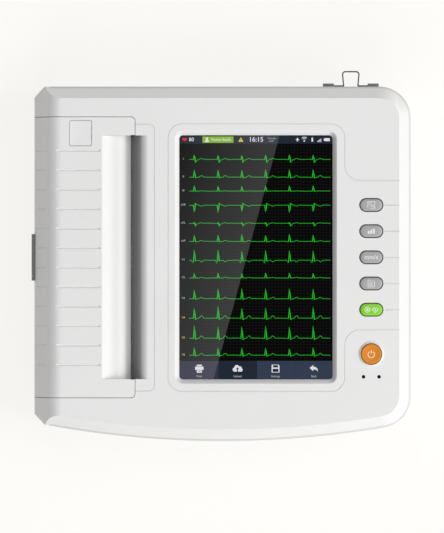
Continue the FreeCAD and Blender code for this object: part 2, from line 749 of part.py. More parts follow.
def cover_trough():
    """The cover's side of the paper exit: a shallow scoop that falls to the slot, with end walls."""
    under = d.brow_z - d.wall
    lining = across_y("trough_lining", [
        (d.trough_left, CEILING),
        (d.trough_left, d.case_top),
        (d.cover_right - d.seam, d.case_top),
        (d.cover_right - d.seam, d.trough_floor),
        (d.slot_left - 3.4, d.trough_floor),
        (d.brow_x - 1.5, under),
        (d.dip_x - 0.4, d.dip_z - d.wall),
    ], LINED)
    corner = lambda x: lambda e, s: s.YLength > 100 and s.XLength < 0.01 and abs(s.XMin - x.number) < 0.01
    air = across_y("trough_air", [
        (d.trough_left, d.case_top),
        (d.dip_x, d.dip_z),
        (d.brow_x, d.brow_z),
        (d.slot_left, d.trough_floor),
        (d.slot_left, d.case_top + 6),
        (d.trough_left, d.case_top + 6),
    ], TROUGH, [(20, corner(d.dip_x)), (8, corner(d.brow_x))])
    beside = box("trough_beside", (d.slot_left, d.trough_right), (TROUGH[0] - d.seam, TROUGH[1] + d.seam),
                 (d.split, d.case_top + 6))
    return lining, [air, beside]


def rib_grooves():
    """Shallow rounded grooves across the cover, from its left slope to beside the paper exit."""
    items = []
    depth = d.rib_deep
    half = d.rib_width / 2
    radius = (half * half + depth * depth) / (depth * 2)
    for i in range(int(d.rib_count.number)):
        y = d.row_mid - 0.3 + d.rib_pitch * (i - (d.rib_count - 1) / 2)
        level = rod(f"groove_{i}", "x", radius, (d.rib_left, d.rib_right), (y, d.case_top + radius - depth))
        items.append(level)
        slope = rod(f"slope_groove_{i}", "z", radius, (0, 46), (0, 0))
        lean = FreeCAD.Rotation(Vector(0, 1, 0), math.degrees(math.pi / 2 - SLOPE))
        place(slope, LEFT + SLOPE_OUT, y, d.case_top - d.slope_drop, lean)
        bind(slope, "Radius", radius)
        items.append(common(f"slope_groove_{i}_cut", slope,
                            box(f"slope_zone_{i}", (LEFT - 5, -146), (y - 3, y + 3), (46, 71))))
    return items


def paper_cover():
    """Hinged cover: face and left slope, exit trough, platen brackets, latch ribs and hinge block."""
    shell = cut("cover_shell", outer_form, inner_form)
    zone = plate("cover_zone", "xy", rectangle((-190, d.cover_right - d.seam),
                                               (d.cover_front + d.seam, d.cover_rear - d.seam)),
                 d.split + d.seam, 60, [(d.cover_r, upright(x=d.cover_right - d.seam))])
    panel = common("cover_panel", shell, zone)
    lining, air = cover_trough()
    high = CEILING + 0.5
    brackets = [box(f"platen_bracket_{i}", (-96, -81.6), y, (40, high))
                for i, y in enumerate(((-108.2, LINED[0] + 0.2), (LINED[1] - 0.2, 119)))]
    latch_ribs = [box(f"latch_rib_{i}", (-115.8, -108.8), y, (55.5, high))
                  for i, y in enumerate(((117.2, 119.6), (124.4, 126.8)))]
    shelf = [box("spring_rib", (-140.2, -138.2), (104, 117), (58.4, high)),
             box("spring_shelf", (-140.2, -127), (104, 117), (58.4, 59.8)),
             tube("spring_cup", "z", 4.2, 3.2, (59.8, 63.2), SPRING_AT)]
    notch = box("hinge_notch", (-175, -164.6), middle_span(d.row_mid, d.hinge_w + 0.8), (30, d.hinge_z + 2.6))
    block = common("cover_hinge_block", outer_form,
                   box("hinge_lug", HINGE_STRAP_X, middle_span(d.row_mid, 33), (d.hinge_z + 0.9, 46)))
    inner = brackets + latch_ribs + shelf
    whole = fuse("cover_whole", cut("cover_notched", panel, notch), lining, block, *inner)
    openings = air + rib_grooves()
    openings.append(tall_block("button_opening", middle_span(BUTTON[0], BUTTON_W + 0.6),
                               middle_span(BUTTON[1], BUTTON_D + 0.6), CEILING - 1, 1.9))
    openings.append(rod("bushing_seats", "y", 5, (-120, 125), (d.platen_x, d.platen_z)))
    openings.append(rod("latch_pin_hole", "y", 1.5, (112, 130), LATCH_PIVOT))
    node(cut("paper_cover_solid", whole, *openings), "paper_cover")


def release_button():
    """Square thumb button with a faint dish, a retaining flange and the foot that works the latch."""
    x, y = BUTTON
    top = 73.7
    cap = rounded_block("button_cap", middle_span(x, BUTTON_W), middle_span(y, BUTTON_D), (66, top), 1.6)
    flange = box("button_flange", middle_span(x, BUTTON_W - 2), middle_span(y, BUTTON_D + 2.6), (68.4, 70.8))
    hollows = []
    for name, radius, depth in (("dish", 250, 0.3), ("dimple", 1.0, 0.6)):
        hollow = fresh("Part::Sphere", "button_" + name)
        bind(hollow, "Radius", radius)
        place(hollow, x, y, top + radius - depth)
        hollows.append(hollow)
    pocket = rod("button_spring_pocket", "z", 3.2, (65, 70), SPRING_AT)
    foot = rod("button_foot", "z", 1.5, (62.4, 67), (-123, 122))
    blank = fuse("button_blank", cap, flange, foot)
    node(cut("release_button_solid", blank, *hollows, pocket), "release_button")


def coil(name, axis, radius, wire, pitch, ends, at):
    """A compression spring along an axis."""
    helix = fresh("Part::Helix", name + "_helix")
    bind(helix, "Pitch", pitch)
    bind(helix, "Height", size(ends[1]) - ends[0])
    bind(helix, "Radius", radius)
    section = fresh("Part::Circle", name + "_wire")
    bind(section, "Radius", wire)
    place(section, radius, 0, 0, FreeCAD.Rotation(Vector(1, 0, 0), 90))
    doc.recompute()
    spring = fresh("Part::Sweep", name)
    spring.Sections = [section]
    spring.Spine = (helix, [f"Edge{i + 1}" for i in range(len(helix.Shape.Edges))])
    spring.Solid = True
    spring.Frenet = True
    x, y, z = {"x": (ends[0], at[0], at[1]), "z": (at[0], at[1], ends[0])}[axis]
    place(spring, x, y, z, ALONG[axis])
    return spring


def latch():
    """Lever that hooks the cover to a fixed pin, its pivot, and the button's spring."""
    x, z = LATCH_PIVOT
    lever = across_y("lever_blade", [
        (x - 14.5, z - 1.2), (x - 14.5, z + 2), (x - 5.5, z + 2), (x - 2.5, z + 4), (x + 3.2, z + 4),
        (x + 3.9, z - 2), (x + 3.3, z - 24), (x - 1.1, z - 24), (x - 1.9, z - 21.6), (x + 0.7, z - 21.1),
        (x + 0.7, z - 4), (x - 3.5, z - 3),
    ], (120, 124))
    bore = rod("lever_bore", "y", 1.56, (119, 125), LATCH_PIVOT)
    node(cut("latch_lever_solid", lever, bore), "latch_lever")
    node(rod("latch_pin_solid", "y", 1.5, (117.2, 126.8), LATCH_PIVOT), "latch_pin")
    node(rod("latch_striker_solid", "y", 2, (119, d.cover_rear + 2), STRIKER), "latch_striker")
    spring = coil("button_spring_wire", "z", 2.4, 0.35, 1.6, (63, 69.6), SPRING_AT)
    node(spring, "button_spring")


def hinge():
    """Butt hinge on the left side: the case's leaf with its end knuckles, the cover's leaf, and the pin."""
    at = (d.hinge_x, d.hinge_z)
    low, high = middle_span(d.row_mid, d.hinge_w)
    ends = ((low, low + 3.8), (high - 3.8, high))
    strap_z = (d.hinge_z - 3.2, d.hinge_z - 1.4)
    case_parts = [box("case_strap", HINGE_STRAP_X, (low, high), strap_z)]
    for i, y in enumerate(ends):
        case_parts.append(box(f"case_tab_{i}", (d.hinge_x - 0.6, -165), y, strap_z))
        case_parts.append(rod(f"case_knuckle_{i}", "y", d.knuckle_r, y, at))
    case_bore = rod("case_leaf_bore", "y", 1, (low - 1, high + 1), at)
    node(cut("case_leaf", fuse("case_leaf_blank", *case_parts), case_bore), "hinge_leaf_case")
    inner = (low + 4, high - 4)
    strap = box("cover_strap", (d.hinge_x, -159.8), inner, (d.hinge_z - 0.7, d.hinge_z + 0.9))
    knuckle = rod("cover_knuckle", "y", d.knuckle_r, inner, at)
    bore = rod("cover_leaf_bore", "y", 1.06, (low - 1, high + 1), at)
    node(cut("cover_leaf", fuse("cover_leaf_blank", strap, knuckle), bore), "hinge_leaf_cover")
    node(rod("hinge_pin_solid", "y", 1, (low, high), at), "hinge_pin")


# printer


def gear(name, teeth, at, turn, bore):
    """A spur gear along Y with involute flanks, turned by a part of a tooth so that it meshes."""
    module = d.gear_module.number
    count = int(teeth.number)
    pitch_r = module * count / 2
    base_r = pitch_r * math.cos(math.radians(20))
    tip_r = pitch_r + module
    root_r = pitch_r - module * 1.25
    lead = math.tan(math.radians(20)) - math.radians(20)
    half = math.pi / (2 * count) - 0.05 / pitch_r + lead

    def flank(radius):
        """Half the tooth's angle at a radius."""
        if radius <= base_r:
            return half
        angle = math.acos(base_r / radius)
        return half - (math.tan(angle) - angle)

    steps = 5
    start = max(root_r, base_r)
    radii = [start + (tip_r - start) * i / steps for i in range(steps + 1)]
    points = []
    for tooth in range(count):
        middle = (tooth + turn) * 2 * math.pi / count
        rising = [(root_r, -flank(start))] + [(r, -flank(r)) for r in radii]
        falling = [(r, flank(r)) for r in reversed(radii)] + [(root_r, flank(start))]
        for radius, angle in rising + falling:
            points.append(Vector(radius * math.cos(middle + angle), radius * math.sin(middle + angle), 0))
    apart = [p for i, p in enumerate(points) if (p - points[i - 1]).Length > 1e-4]
    face = Part.Face(Part.makePolygon(apart + apart[:1]))
    blank = fresh("Part::Feature", name + "_profile")
    blank.Shape = face.extrude(Vector(0, 0, d.gear_w.number))
    # Along Y, the profile's own X stays X and its Y becomes -Z.
    place(blank, at[0], d.gear_rear - d.gear_w, at[1], ALONG["y"])
    hole = rod(name + "_bore", "y", bore, (d.gear_rear - d.gear_w - 1, d.gear_rear + 1), at)
    return cut(name + "_cut", blank, hole)


def gear_places():
    """Axes of the feed gears: the idler hangs below the platen, along the cover's first movement."""
    arm = math.atan2((d.platen_z - d.hinge_z).number, (d.platen_x - d.hinge_x).number)
    first = d.gear_module * (d.platen_teeth + d.idler_teeth) / 2 + d.gear_slack
    second = d.gear_module * (d.idler_teeth + d.pinion_teeth) / 2 + d.gear_slack
    idler = (d.platen_x + first * math.sin(arm), d.platen_z - first * math.cos(arm))
    return (d.platen_x, d.platen_z), idler, (idler[0] + second, idler[1]), arm


def phase(teeth, toward, gap):
    """Turn, in teeth, that puts a tooth, or a gap, in a direction in the gear's own plane."""
    part = toward * teeth.number / (2 * math.pi)
    return part + (0.5 if gap else 0)


def feed():
    """Platen with its shaft and gear, the idler, the motor and its pinion."""
    platen, idler, motor, arm = gear_places()
    rubber = tube("platen_tube", "y", d.platen_r, d.platen_shaft_r, (-99.6, 111.4), platen)
    node(rubber, "platen_rubber")
    shaft = rod("platen_shaft_solid", "y", d.platen_shaft_r, (-109.6, d.gear_rear + 0.4), platen)
    node(shaft, "platen_shaft")
    bushings = [tube(f"bushing_{i}", "y", 5, d.platen_shaft_r + 0.05, y, platen)
                for i, y in enumerate(((-108.8, -104.8), (116.4, 119.4)))]
    node(together("bushings", *bushings), "platen_bushings")
    # In a gear's own plane, angles run from X towards -Z.
    down = math.pi / 2 - arm
    platen_turn = phase(d.platen_teeth, down, False)
    idler_turn = phase(d.idler_teeth, down + math.pi, True)
    # The tooth that the idler shows the pinion, as a part of a tooth from the direction +X.
    shown = idler_turn - math.floor(idler_turn)
    pinion_turn = phase(d.pinion_teeth, math.pi, True) - shown
    node(gear("platen_gear", d.platen_teeth, platen, platen_turn, d.platen_shaft_r), "platen_gear")
    node(gear("idler_gear", d.idler_teeth, idler, idler_turn, 2.06), "idler_gear")
    pinion = gear("motor_gear", d.pinion_teeth, motor, pinion_turn, 1.5)
    motor_shaft = rod("motor_shaft", "y", 1.5, (d.gear_rear - d.gear_w - 0.6, 131), motor)
    node(fuse("motor_pinion_solid", pinion, motor_shaft), "motor_pinion")
    node(rod("idler_axle_solid", "y", 2, (d.gear_rear - d.gear_w - 0.6, 127.5), idler), "idler_axle")
    can = rod("motor_can", "y", 17.5, (127.6, 149.6), motor)
    ears = box("motor_flange", (motor[0] - 24, motor[0] + 17), (127.6, 128.8), middle_span(motor[1], 14))
    plug = box("motor_plug", (motor[0] - 5, motor[0] + 5), (134, 144), (motor[1] - 20, motor[1] - 15))
    hollow = rod("motor_bore", "y", 1.6, (126, 132), motor)
    node(cut("feed_motor_solid", fuse("motor_blank", can, ears, plug), hollow), "feed_motor")
    return platen, idler, motor


def print_unit(platen, idler, motor):
    """Steel chassis, sprung thermal head with its heat sink, and the tear bar."""
    foot_z = FLOOR + 1.2
    side = [(-46, foot_z), (-46, 60), (-66, 60), (-76, 44), (-76, 39)]
    rear = across_y("chassis_rear", [(-102, foot_z)] + side + [(-102, 39)], (126, 127.5))
    front = across_y("chassis_front", [(-98, foot_z)] + side + [(-98, 30)], (-112, -110.5))
    back = box("chassis_back", (-60, -58.4), (-111, 127), (foot_z, 60))
    floor = box("chassis_floor", (-98, -46), (-111, 127), (foot_z, foot_z + 1.5))
    legs = [box(f"chassis_leg_{i}", (x, x + 8), (y, y + 8), (FLOOR, foot_z))
            for i, (x, y) in enumerate(((-90, -106), (-56, -106), (-90, 114), (-56, 114)))]
    holes = [rod("chassis_motor_hole", "y", 4.2, (125, 129), motor),
             rod("chassis_axle_hole", "y", 2, (125, 129), idler),
             box("chassis_window", (-94, -66), (-90, 100), (foot_z - 1, foot_z + 3))]
    chassis = fuse("chassis_blank", rear, front, back, floor, *legs)
    node(cut("print_chassis_solid", chassis, *holes), "print_chassis")
    face = d.platen_x + d.platen_r + 0.3
    carrier = box("head_plate", (face + 0.8, face + 3.2), (-101, 113), (38.5, 55.3))
    heater = box("head_heater", (face + 0.1, face + 0.8), (-100, 112), (40, 54))
    glaze = box("head_glaze", (face, face + 0.2), (-100, 112), (46, 48))
    node(fuse("print_head_solid", carrier, heater, glaze), "print_head")
    sink = box("sink_block", (face + 3.2, face + 9.6), (-99, 111), (40, 54))
    fins = [box(f"sink_slot_{i}", (face + 6, face + 11), (-120, 130), (42.2 + i * 3.4, 43.8 + i * 3.4))
            for i in range(4)]
    spring_at = [(y, d.platen_z) for y in (-80, 6, 92)]
    pads = [rod(f"sink_pad_{i}", "x", 5.4, (face + 4, face + 9.6), at) for i, at in enumerate(spring_at)]
    pockets = [rod(f"sink_pocket_{i}", "x", 4, (face + 6.4, face + 11), at) for i, at in enumerate(spring_at)]
    finned = fuse("sink_whole", cut("sink_finned", sink, *fins), *pads)
    node(cut("head_heatsink_solid", finned, *pockets), "head_heatsink")
    springs = [coil(f"head_spring_{i}", "x", 2.8, 0.45, 2.4, (face + 8.4, -60.5), at)
               for i, at in enumerate(spring_at)]
    node(together("head_springs_all", *springs), "head_springs")
    bar_top = d.trough_floor - 2.5
    bar = box("tear_blade", (d.slot_right - 0.4, d.slot_right + 4.8), (TROUGH[0] + 1, TROUGH[1] - 1),
              (bar_top - 1.1, bar_top))
    node(bar, "tear_bar")


def paper():
    """Open tray for the paper roll, the roll on its core, and the spindle that lies in the tray's slots."""
    at = (d.roll_x, d.roll_z)
    low = FLOOR + 1
    thick = 2
    ends = (-103.2, 114.8)
    hollow = (ends[0] + thick, ends[1] - thick)
    outside = across_y("tray_outside", [
        (-161, low + 5.4), (-156, low), (-104, low), (-104, 38), (-161, 38),
    ], ends)
    inside = across_y("tray_inside", [
        (-159, low + 6.2), (-155, low + thick), (-106, low + thick), (-106, 60), (-159, 60),
    ], hollow)
    left_low = box("tray_left_low", (-170, -155), (-110, 120), (26, 60))
    right_low = box("tray_right_low", (-108, -100), hollow, (20, 60))
    seat = rod("tray_seat", "y", 6.08, (-110, 120), at)
    throat = box("tray_throat", (d.roll_x - 6.08, d.roll_x + 6.08), (-110, 120), (d.roll_z, 60))
    node(cut("paper_tray_solid", outside, inside, left_low, right_low, seat, throat), "paper_tray")
    front = d.row_mid - d.paper_w / 2
    rear = d.row_mid + d.paper_w / 2
    node(tube("paper_roll_solid", "y", d.roll_r, d.core_r, (front, rear), at), "paper_roll")
    node(tube("paper_core_solid", "y", d.core_r, 6.3, (front, rear), at), "paper_core")
    spindle = rod("spindle_rod", "y", 6, (-104.2, 115.8), at)
    flanges = [rod(f"spindle_flange_{i}", "y", 10, y, at)
               for i, y in enumerate(((front - 1.4, front - 0.05), (rear + 0.05, rear + 1.4)))]
    node(fuse("roll_spindle_solid", spindle, *flanges), "roll_spindle")


# screen and keys


def screen():
    """Touch glass under the window, its gasket, the display module and the bracket behind it."""
    wide, deep = middle_span(d.glass_x, 143), middle_span(d.row_mid, 224)
    node(rounded_block("glass_plate", wide, deep, (CEILING - 1.9, CEILING), 5), "touch_glass")
    frame = rounded_block("gasket_out", wide, deep, (CEILING - 2.7, CEILING - 1.9), 5)
    hole = rounded_block("gasket_in", middle_span(d.glass_x, d.glass_w + 2.1),
                         middle_span(d.row_mid, d.glass_d + 1.9), (60, 80), 4)
    node(cut("gasket_ring", frame, hole), "display_gasket")
    body = rounded_block("lcd_block", wide, deep, (62, CEILING - 2.7), 2)
    board = box("lcd_board", middle_span(d.glass_x, 96), middle_span(d.row_mid, 150), (61, 62))
    node(fuse("lcd_module_solid", body, board), "lcd_module")
    sheet_part = box("bracket_plate", (-50, 109.2), middle_span(d.row_mid, 196), (59.4, 60.9))
    window = box("bracket_window", middle_span(d.glass_x, 100), middle_span(d.row_mid, 154), (59, 62))
    edges = [box(f"bracket_edge_{i}", middle_span(d.glass_x, 120), (y, y + 1.5), (52, 60.9))
             for i, y in enumerate((d.row_mid - 98, d.row_mid + 96.5))]
    screws = [rod(f"bracket_screw_{i}", "z", 2.6, (57.6, 59.4), at) for i, at in enumerate(SCREEN_POSTS)]
    node(fuse("lcd_bracket_solid", cut("bracket_open", sheet_part, window), *edges, *screws), "lcd_bracket")


def keys():
    """Five pill-shaped keys, the power key, the dome sheet, the keypad board and the two lamps."""
    top = d.case_top + d.key_proud
    flange_z = (CEILING - 1.5, CEILING - 0.3)
    for i, (name, y) in enumerate(zip(KEY_NAMES, KEY_ROWS)):
        cap = pill(f"key_cap_{i}", d.key_x, y, d.key_w, d.key_d, (CEILING - 2.2, top), 1.5)
        flange = pill(f"key_flange_{i}", d.key_x, y, d.key_w + 2.6, d.key_d + 2.6, flange_z)
        node(fuse(name + "_solid", cap, flange), name)
    at = (d.key_x, d.power_y)
    power_top = top + 0.4
    crown_r = 46
    body = rod("power_cap", "z", d.power_r, (CEILING - 2.2, power_top), at)
    crown = fresh("Part::Sphere", "power_crown")
    bind(crown, "Radius", crown_r)
    place(crown, at[0], at[1], power_top - crown_r)
    flange = rod("power_flange", "z", d.power_r + 1.6, flange_z, at)
    node(fuse("power_solid", common("power_domed", body, crown), flange), "power_button")
    sheet_z = (67.65, 68.2)
    dome_sheet = box("dome_sheet", (d.key_x - 13, d.key_x + 13), (-92, 64), sheet_z)
    domes = [cone(f"dome_{i}", 5, 4, (sheet_z[1], 68.4), (d.key_x, y))
             for i, y in enumerate(KEY_ROWS + [d.power_y])]
    clear = rod("dome_post_hole", "z", 3, (60, 70), (d.key_x, KEY_POSTS[1]))
    node(cut("keypad_domes_solid", fuse("dome_blank", dome_sheet, *domes), clear), "keypad_domes")
    board = box("keypad_pcb", (d.key_x - 14.5, d.key_x + 14.5), (-114, 72), (66, 67.6))
    socket = box("keypad_socket", (d.key_x - 12, d.key_x + 2), (10, 16), (63, 66))
    screws = [rod(f"keypad_screw_{i}", "z", 2.2, (64.6, 66), (d.key_x, y)) for i, y in enumerate(KEY_POSTS)]
    node(fuse("keypad_board_solid", board, socket, *screws), "keypad_board")
    for side, x in LAMPS.items():
        lens = rod(f"lamp_{side}_lens", "z", 1.45, (69, d.case_top - 0.6), (x, d.lamp_y))
        base = box(f"lamp_{side}_base", (x - 1.9, x + 1.9), (d.lamp_y - 1.9, d.lamp_y + 1.9), (67.6, 69))
        node(fuse(f"lamp_{side}_solid", lens, base), f"status_lamp_{side}")


# electronics


def electronics():
    """Main board, mains power supply and loudspeaker."""
    board = box("main_pcb", (-42, 84), (-40, 146), (22, 23.6))
    spots_on_board = (
        ((-30, 10), (60, 110), 29), ((20, 36), (60, 76), 25.4), ((20, 36), (84, 100), 25.4),
        ((46, 60), (0, 14), 26), ((-34, -20), (-20, 20), 30), ((-10, 30), (-34, -24), 29),
        ((66, 80), (30, 60), 33), ((-34, -6), (30, 44), 28),
    )
    chips = [box(f"main_part_{i}", x, y, (23.6, top)) for i, (x, y, top) in enumerate(spots_on_board)]
    posts = [rod(f"main_post_{i}", "z", 3, (FLOOR, 22), at)
             for i, at in enumerate(((-36, -34), (78, -34), (-36, 120), (78, 120)))]
    node(fuse("main_board_solid", board, *chips, *posts), "main_board")
    supply = box("supply_pcb", (90, 140), (8, 116), (13, 14.6))
    parts = [box("supply_transformer", (98, 128), (50, 80), (14.6, 40)),
             rod("supply_capacitor", "z", 9, (14.6, 38), (106, 96)),
             rod("supply_capacitor_small", "z", 5, (14.6, 30), (130, 98)),
             box("supply_sink", (134, 137), (16, 70), (14.6, 38)),
             box("supply_socket", (94, 116), (10, 18), (14.6, 24)),
             rod("supply_choke", "z", 8, (14.6, 26), (108, 34))]
    legs = [rod(f"supply_leg_{i}", "z", 3, (FLOOR, 13), at)
            for i, at in enumerate(((94, 12), (136, 12), (94, 112), (136, 112)))]
    node(fuse("power_supply_solid", supply, *parts, *legs), "power_supply")
    at = (20, -116)
    frame = tube("speaker_frame", "z", 20, 16.5, (FLOOR, 9.4), at)
    basket = cone("speaker_basket", 19, 11, (9.4, 15), at)
    magnet = rod("speaker_magnet", "z", 11, (15, 21), at)
    node(fuse("speaker_solid", frame, basket, magnet), "speaker")


# rear connectors


def rear_panel():
    """Recessed panel with the openings for mains, patient cable and data."""
    (left, right), (low, high) = PANEL
    sheet_part = box("panel_plate", (size(left) - 1.6, size(right) + 0.7), (d.panel_y - 2.4, d.panel_y),
                     (low - 1.6, high + 1.6))
    x, z = d.inlet_x, d.inlet_z
    openings = [box("inlet_cut", (x - 13.6, x + 13.6), (140, 170), (z - 10.2, z + 10.2)),
                box("port_cut", (-29.2, -0.8), (140, 170), (31.4, 40.8)),
                box("data_cut_0", (16.8, 31.2), (140, 170), (23.8, 31.4)),
                box("data_cut_1", (36.8, 51.2), (140, 170), (23.8, 31.4)),
                box("data_cut_2", (58.8, 75.2), (140, 170), (23.8, 37.8))]
    openings += [rod(f"inlet_hole_{i}", "y", 1.6, (140, 170), (x + side, z))
                 for i, side in enumerate(INLET_SIDES)]
    node(cut("rear_panel_solid", sheet_part, *openings), "rear_panel")


def mains():
    """Three-pin appliance inlet, its screws, and the cord clip with its two holders."""
    x, y, z = d.inlet_x, d.panel_y, d.inlet_z
    flange = box("inlet_flange", (x - 24.6, x + 24.6), (y, y + 1.6), (z - 11.6, z + 11.6))
    body = box("inlet_body", (x - 13.4, x + 13.4), (y - 26, y), (z - 10, z + 10))
    socket = box("inlet_socket", (x - 11.9, x + 11.9), (y - 15, y + 3), (z - 7.9, z + 7.9))
    screw_holes = [rod(f"flange_hole_{i}", "y", 1.6, (y - 1, y + 3), (x + side, z))
                   for i, side in enumerate(INLET_SIDES)]
    hollow = cut("inlet_hollow", fuse("inlet_blank", flange, body), socket, *screw_holes)
    pins = [box(f"inlet_blade_{i}", (x + dx - 1, x + dx + 1), (y - 16, y - 2), (z + dz - 2, z + dz + 2))
            for i, (dx, dz) in enumerate(((-7, -2), (0, 2), (7, -2)))]
    node(fuse("mains_inlet_solid", hollow, *pins), "mains_inlet")
    screws = []
    for i, side in enumerate(INLET_SIDES):
        shank = rod(f"inlet_shank_{i}", "y", 1.5, (y - 9, y + 2.8), (x + side, z))
        head = rod(f"inlet_head_{i}", "y", 3, (y + 2.8, y + 4.4), (x + side, z))
        screws.append(fuse(f"inlet_screw_{i}", shank, head))
    screws += [rod(f"jack_{i}", "y", 2.4, (y, y + 2), (jack_x, 36.1))
               for i, jack_x in enumerate((-31.8, 1.8))]
    node(together("rear_screws_all", *screws), "rear_screws")
    pivot_z = d.clip_pivot_z
    for name, side in zip(("left", "right"), INLET_SIDES):
        middle = x + side
        wide = middle_span(middle, 9.7)
        label = f"clip_holder_{name}"
        block = box(label + "_block", wide, (y + 2, y + 5.8), (z + 5.4, pivot_z + 3.4))
        lug = box(label + "_lug", wide, (y + 1.6, y + 2.8), (z - 5, pivot_z + 3.4))
        hole = rod(label + "_hole", "y", 1.6, (y, y + 4), (middle, z))
        socket = rod(label + "_socket", "x", d.clip_wire_r + 0.06, middle_span(middle, 12),
                     (d.clip_pivot_y, pivot_z))
        node(cut(label + "_solid", fuse(label + "_blank", block, lug), hole, socket), label)
    node(cord_clip(), "cord_clip")


def bent_wire(name, radius, points):
    """A wire of straight runs with a ball at every bend."""
    parts = []
    for i, (start, end) in enumerate(zip(points, points[1:])):
        from_point, to_point = (Vector(*(size(c).number for c in p)) for p in (start, end))
        run = fresh("Part::Cylinder", f"{name}_run_{i}")
        bind(run, "Radius", radius)
        bind(run, "Height", (to_point - from_point).Length)
        place(run, *start, FreeCAD.Rotation(Vector(0, 0, 1), to_point - from_point))
        parts.append(run)
    for i, point in enumerate(points[1:-1]):
        ball = fresh("Part::Sphere", f"{name}_bend_{i}")
        bind(ball, "Radius", radius)
        place(ball, *point)
        parts.append(ball)
    return fuse(name, *parts)


def cord_clip():
    """Sprung wire bail that swings on two feet and keeps the mains plug in."""
    half = [(17.6, 0), (6.4, 0), (7.3, d.clip_loop - 2.2), (6.7, d.clip_loop - 0.8), (5.4, d.clip_loop)]
    points = [(d.inlet_x - x, d.clip_pivot_y + y, d.clip_pivot_z) for x, y in half]
    points += [(d.inlet_x + x, d.clip_pivot_y + y, d.clip_pivot_z) for x, y in reversed(half)]
    return bent_wire("bail", d.clip_wire_r, points)


def ports():
    """Fifteen-pole patient cable socket with its jack screws, two USB sockets and a network socket."""
    y = d.panel_y
    shell = box("port_shell", (-29, -1), (y - 12, y + 1.6), (31.6, 40.6))
    hollow = box("port_hollow", (-27.6, -2.4), (y - 5, y + 3), (33, 39.2))
    insert = box("port_insert", (-26.4, -3.6), (y - 8, y + 1), (33.9, 38.3))
    poles = [(-25 + i * 2.8, 37.4) for i in range(8)] + [(-23.6 + i * 2.8, 34.8) for i in range(7)]
    holes = [rod(f"port_pole_{i}", "y", 0.5, (y - 4, y + 3), at) for i, at in enumerate(poles)]
    blank = fuse("port_blank", cut("port_cup", shell, hollow), insert)
    node(cut("patient_port_solid", blank, *holes), "patient_port")
    sockets = []
    rows = ((24, 14, 31.2, 1.8), (44, 14, 31.2, 1.8), (67, 16, 37.6, 0.8))
    for i, (x, width, high, drop) in enumerate(rows):
        block = box(f"data_block_{i}", middle_span(x, width), (y - 18, y + 0.6), (24, high))
        mouth = box(f"data_mouth_{i}", middle_span(x, width - 1.6), (y - 12, y + 3), (24.8, high - 0.8))
        tongue = box(f"data_tongue_{i}", middle_span(x, width - 3.4), (y - 14, y - 0.6),
                     (high - drop - 1, high - drop))
        sockets.append(fuse(f"data_socket_{i}", cut(f"data_cup_{i}", block, mouth), tongue))
    node(together("data_sockets", *sockets), "data_ports")


def main():
    top_case()
    bottom_case()
    paper_cover()
    feet()
    case_screws()
    battery()
    release_button()
    latch()
    hinge()
    print_unit(*feed())
    paper()
    screen()
    keys()
    electronics()
    rear_panel()
    mains()
    ports()
    doc.recompute()
    failed = [item.Label for item in doc.Objects if {"Invalid", "Error"} & set(item.State)]
    failed += [item.Label for item in nodes if item.Shape.isNull() or not item.Shape.isValid()]
    if failed:
        raise RuntimeError("these objects failed: " + ", ".join(failed))
    os.makedirs("parts", exist_ok=True)
    for item in nodes:
        item.Shape.exportStep(f"parts/{item.Label}.step")
    print(len(nodes), "pieces written")


main()
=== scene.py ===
import math
import random

import bmesh
import bpy
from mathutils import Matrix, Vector


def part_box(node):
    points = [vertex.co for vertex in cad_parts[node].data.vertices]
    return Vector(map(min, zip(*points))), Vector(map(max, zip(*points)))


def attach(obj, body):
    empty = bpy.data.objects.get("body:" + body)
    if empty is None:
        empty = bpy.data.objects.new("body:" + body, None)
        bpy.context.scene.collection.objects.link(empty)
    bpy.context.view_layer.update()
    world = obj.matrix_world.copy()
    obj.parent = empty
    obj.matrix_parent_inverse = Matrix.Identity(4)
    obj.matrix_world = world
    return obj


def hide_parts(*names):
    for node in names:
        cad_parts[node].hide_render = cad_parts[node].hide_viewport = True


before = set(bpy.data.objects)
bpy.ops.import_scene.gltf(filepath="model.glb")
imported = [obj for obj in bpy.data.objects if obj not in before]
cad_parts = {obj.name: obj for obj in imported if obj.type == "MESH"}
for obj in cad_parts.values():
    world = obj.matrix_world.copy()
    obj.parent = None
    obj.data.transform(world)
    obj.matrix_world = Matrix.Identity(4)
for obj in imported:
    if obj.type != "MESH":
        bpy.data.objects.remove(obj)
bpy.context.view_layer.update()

scene = bpy.context.scene
mm = 0.001


# Middle of a node's box, and the height of its top.
def middleAndTop(name):
    low, high = (Vector(corner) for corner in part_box(name))
    return (low + high) / 2, high.z


# node tree helpers

def newMaterial(name):
    material = bpy.data.materials.new(name)
    material.use_nodes = True
    tree = material.node_tree
    tree.nodes.clear()
    output = tree.nodes.new("ShaderNodeOutputMaterial")
    shader = tree.nodes.new("ShaderNodeBsdfPrincipled")
    tree.links.new(shader.outputs[0], output.inputs[0])
    return material, tree, shader


def addNode(tree, kind, values=None, **settings):
    node = tree.nodes.new(kind)
    for key, value in settings.items():
        setattr(node, key, value)
    for key, value in (values or {}).items():
        node.inputs[key].default_value = value
    return node


def objectPlace(tree, stretch=(1, 1, 1)):
    place = addNode(tree, "ShaderNodeTexCoord")
    mapping = addNode(tree, "ShaderNodeMapping", {"Scale": stretch})
    tree.links.new(place.outputs["Object"], mapping.inputs["Vector"])
    return mapping.outputs[0]


def noise(tree, place, scale, detail=3.0):
    node = addNode(tree, "ShaderNodeTexNoise", {"Scale": scale, "Detail": detail, "Roughness": 0.55})
    tree.links.new(place, node.inputs["Vector"])
    return node.outputs["Fac"]


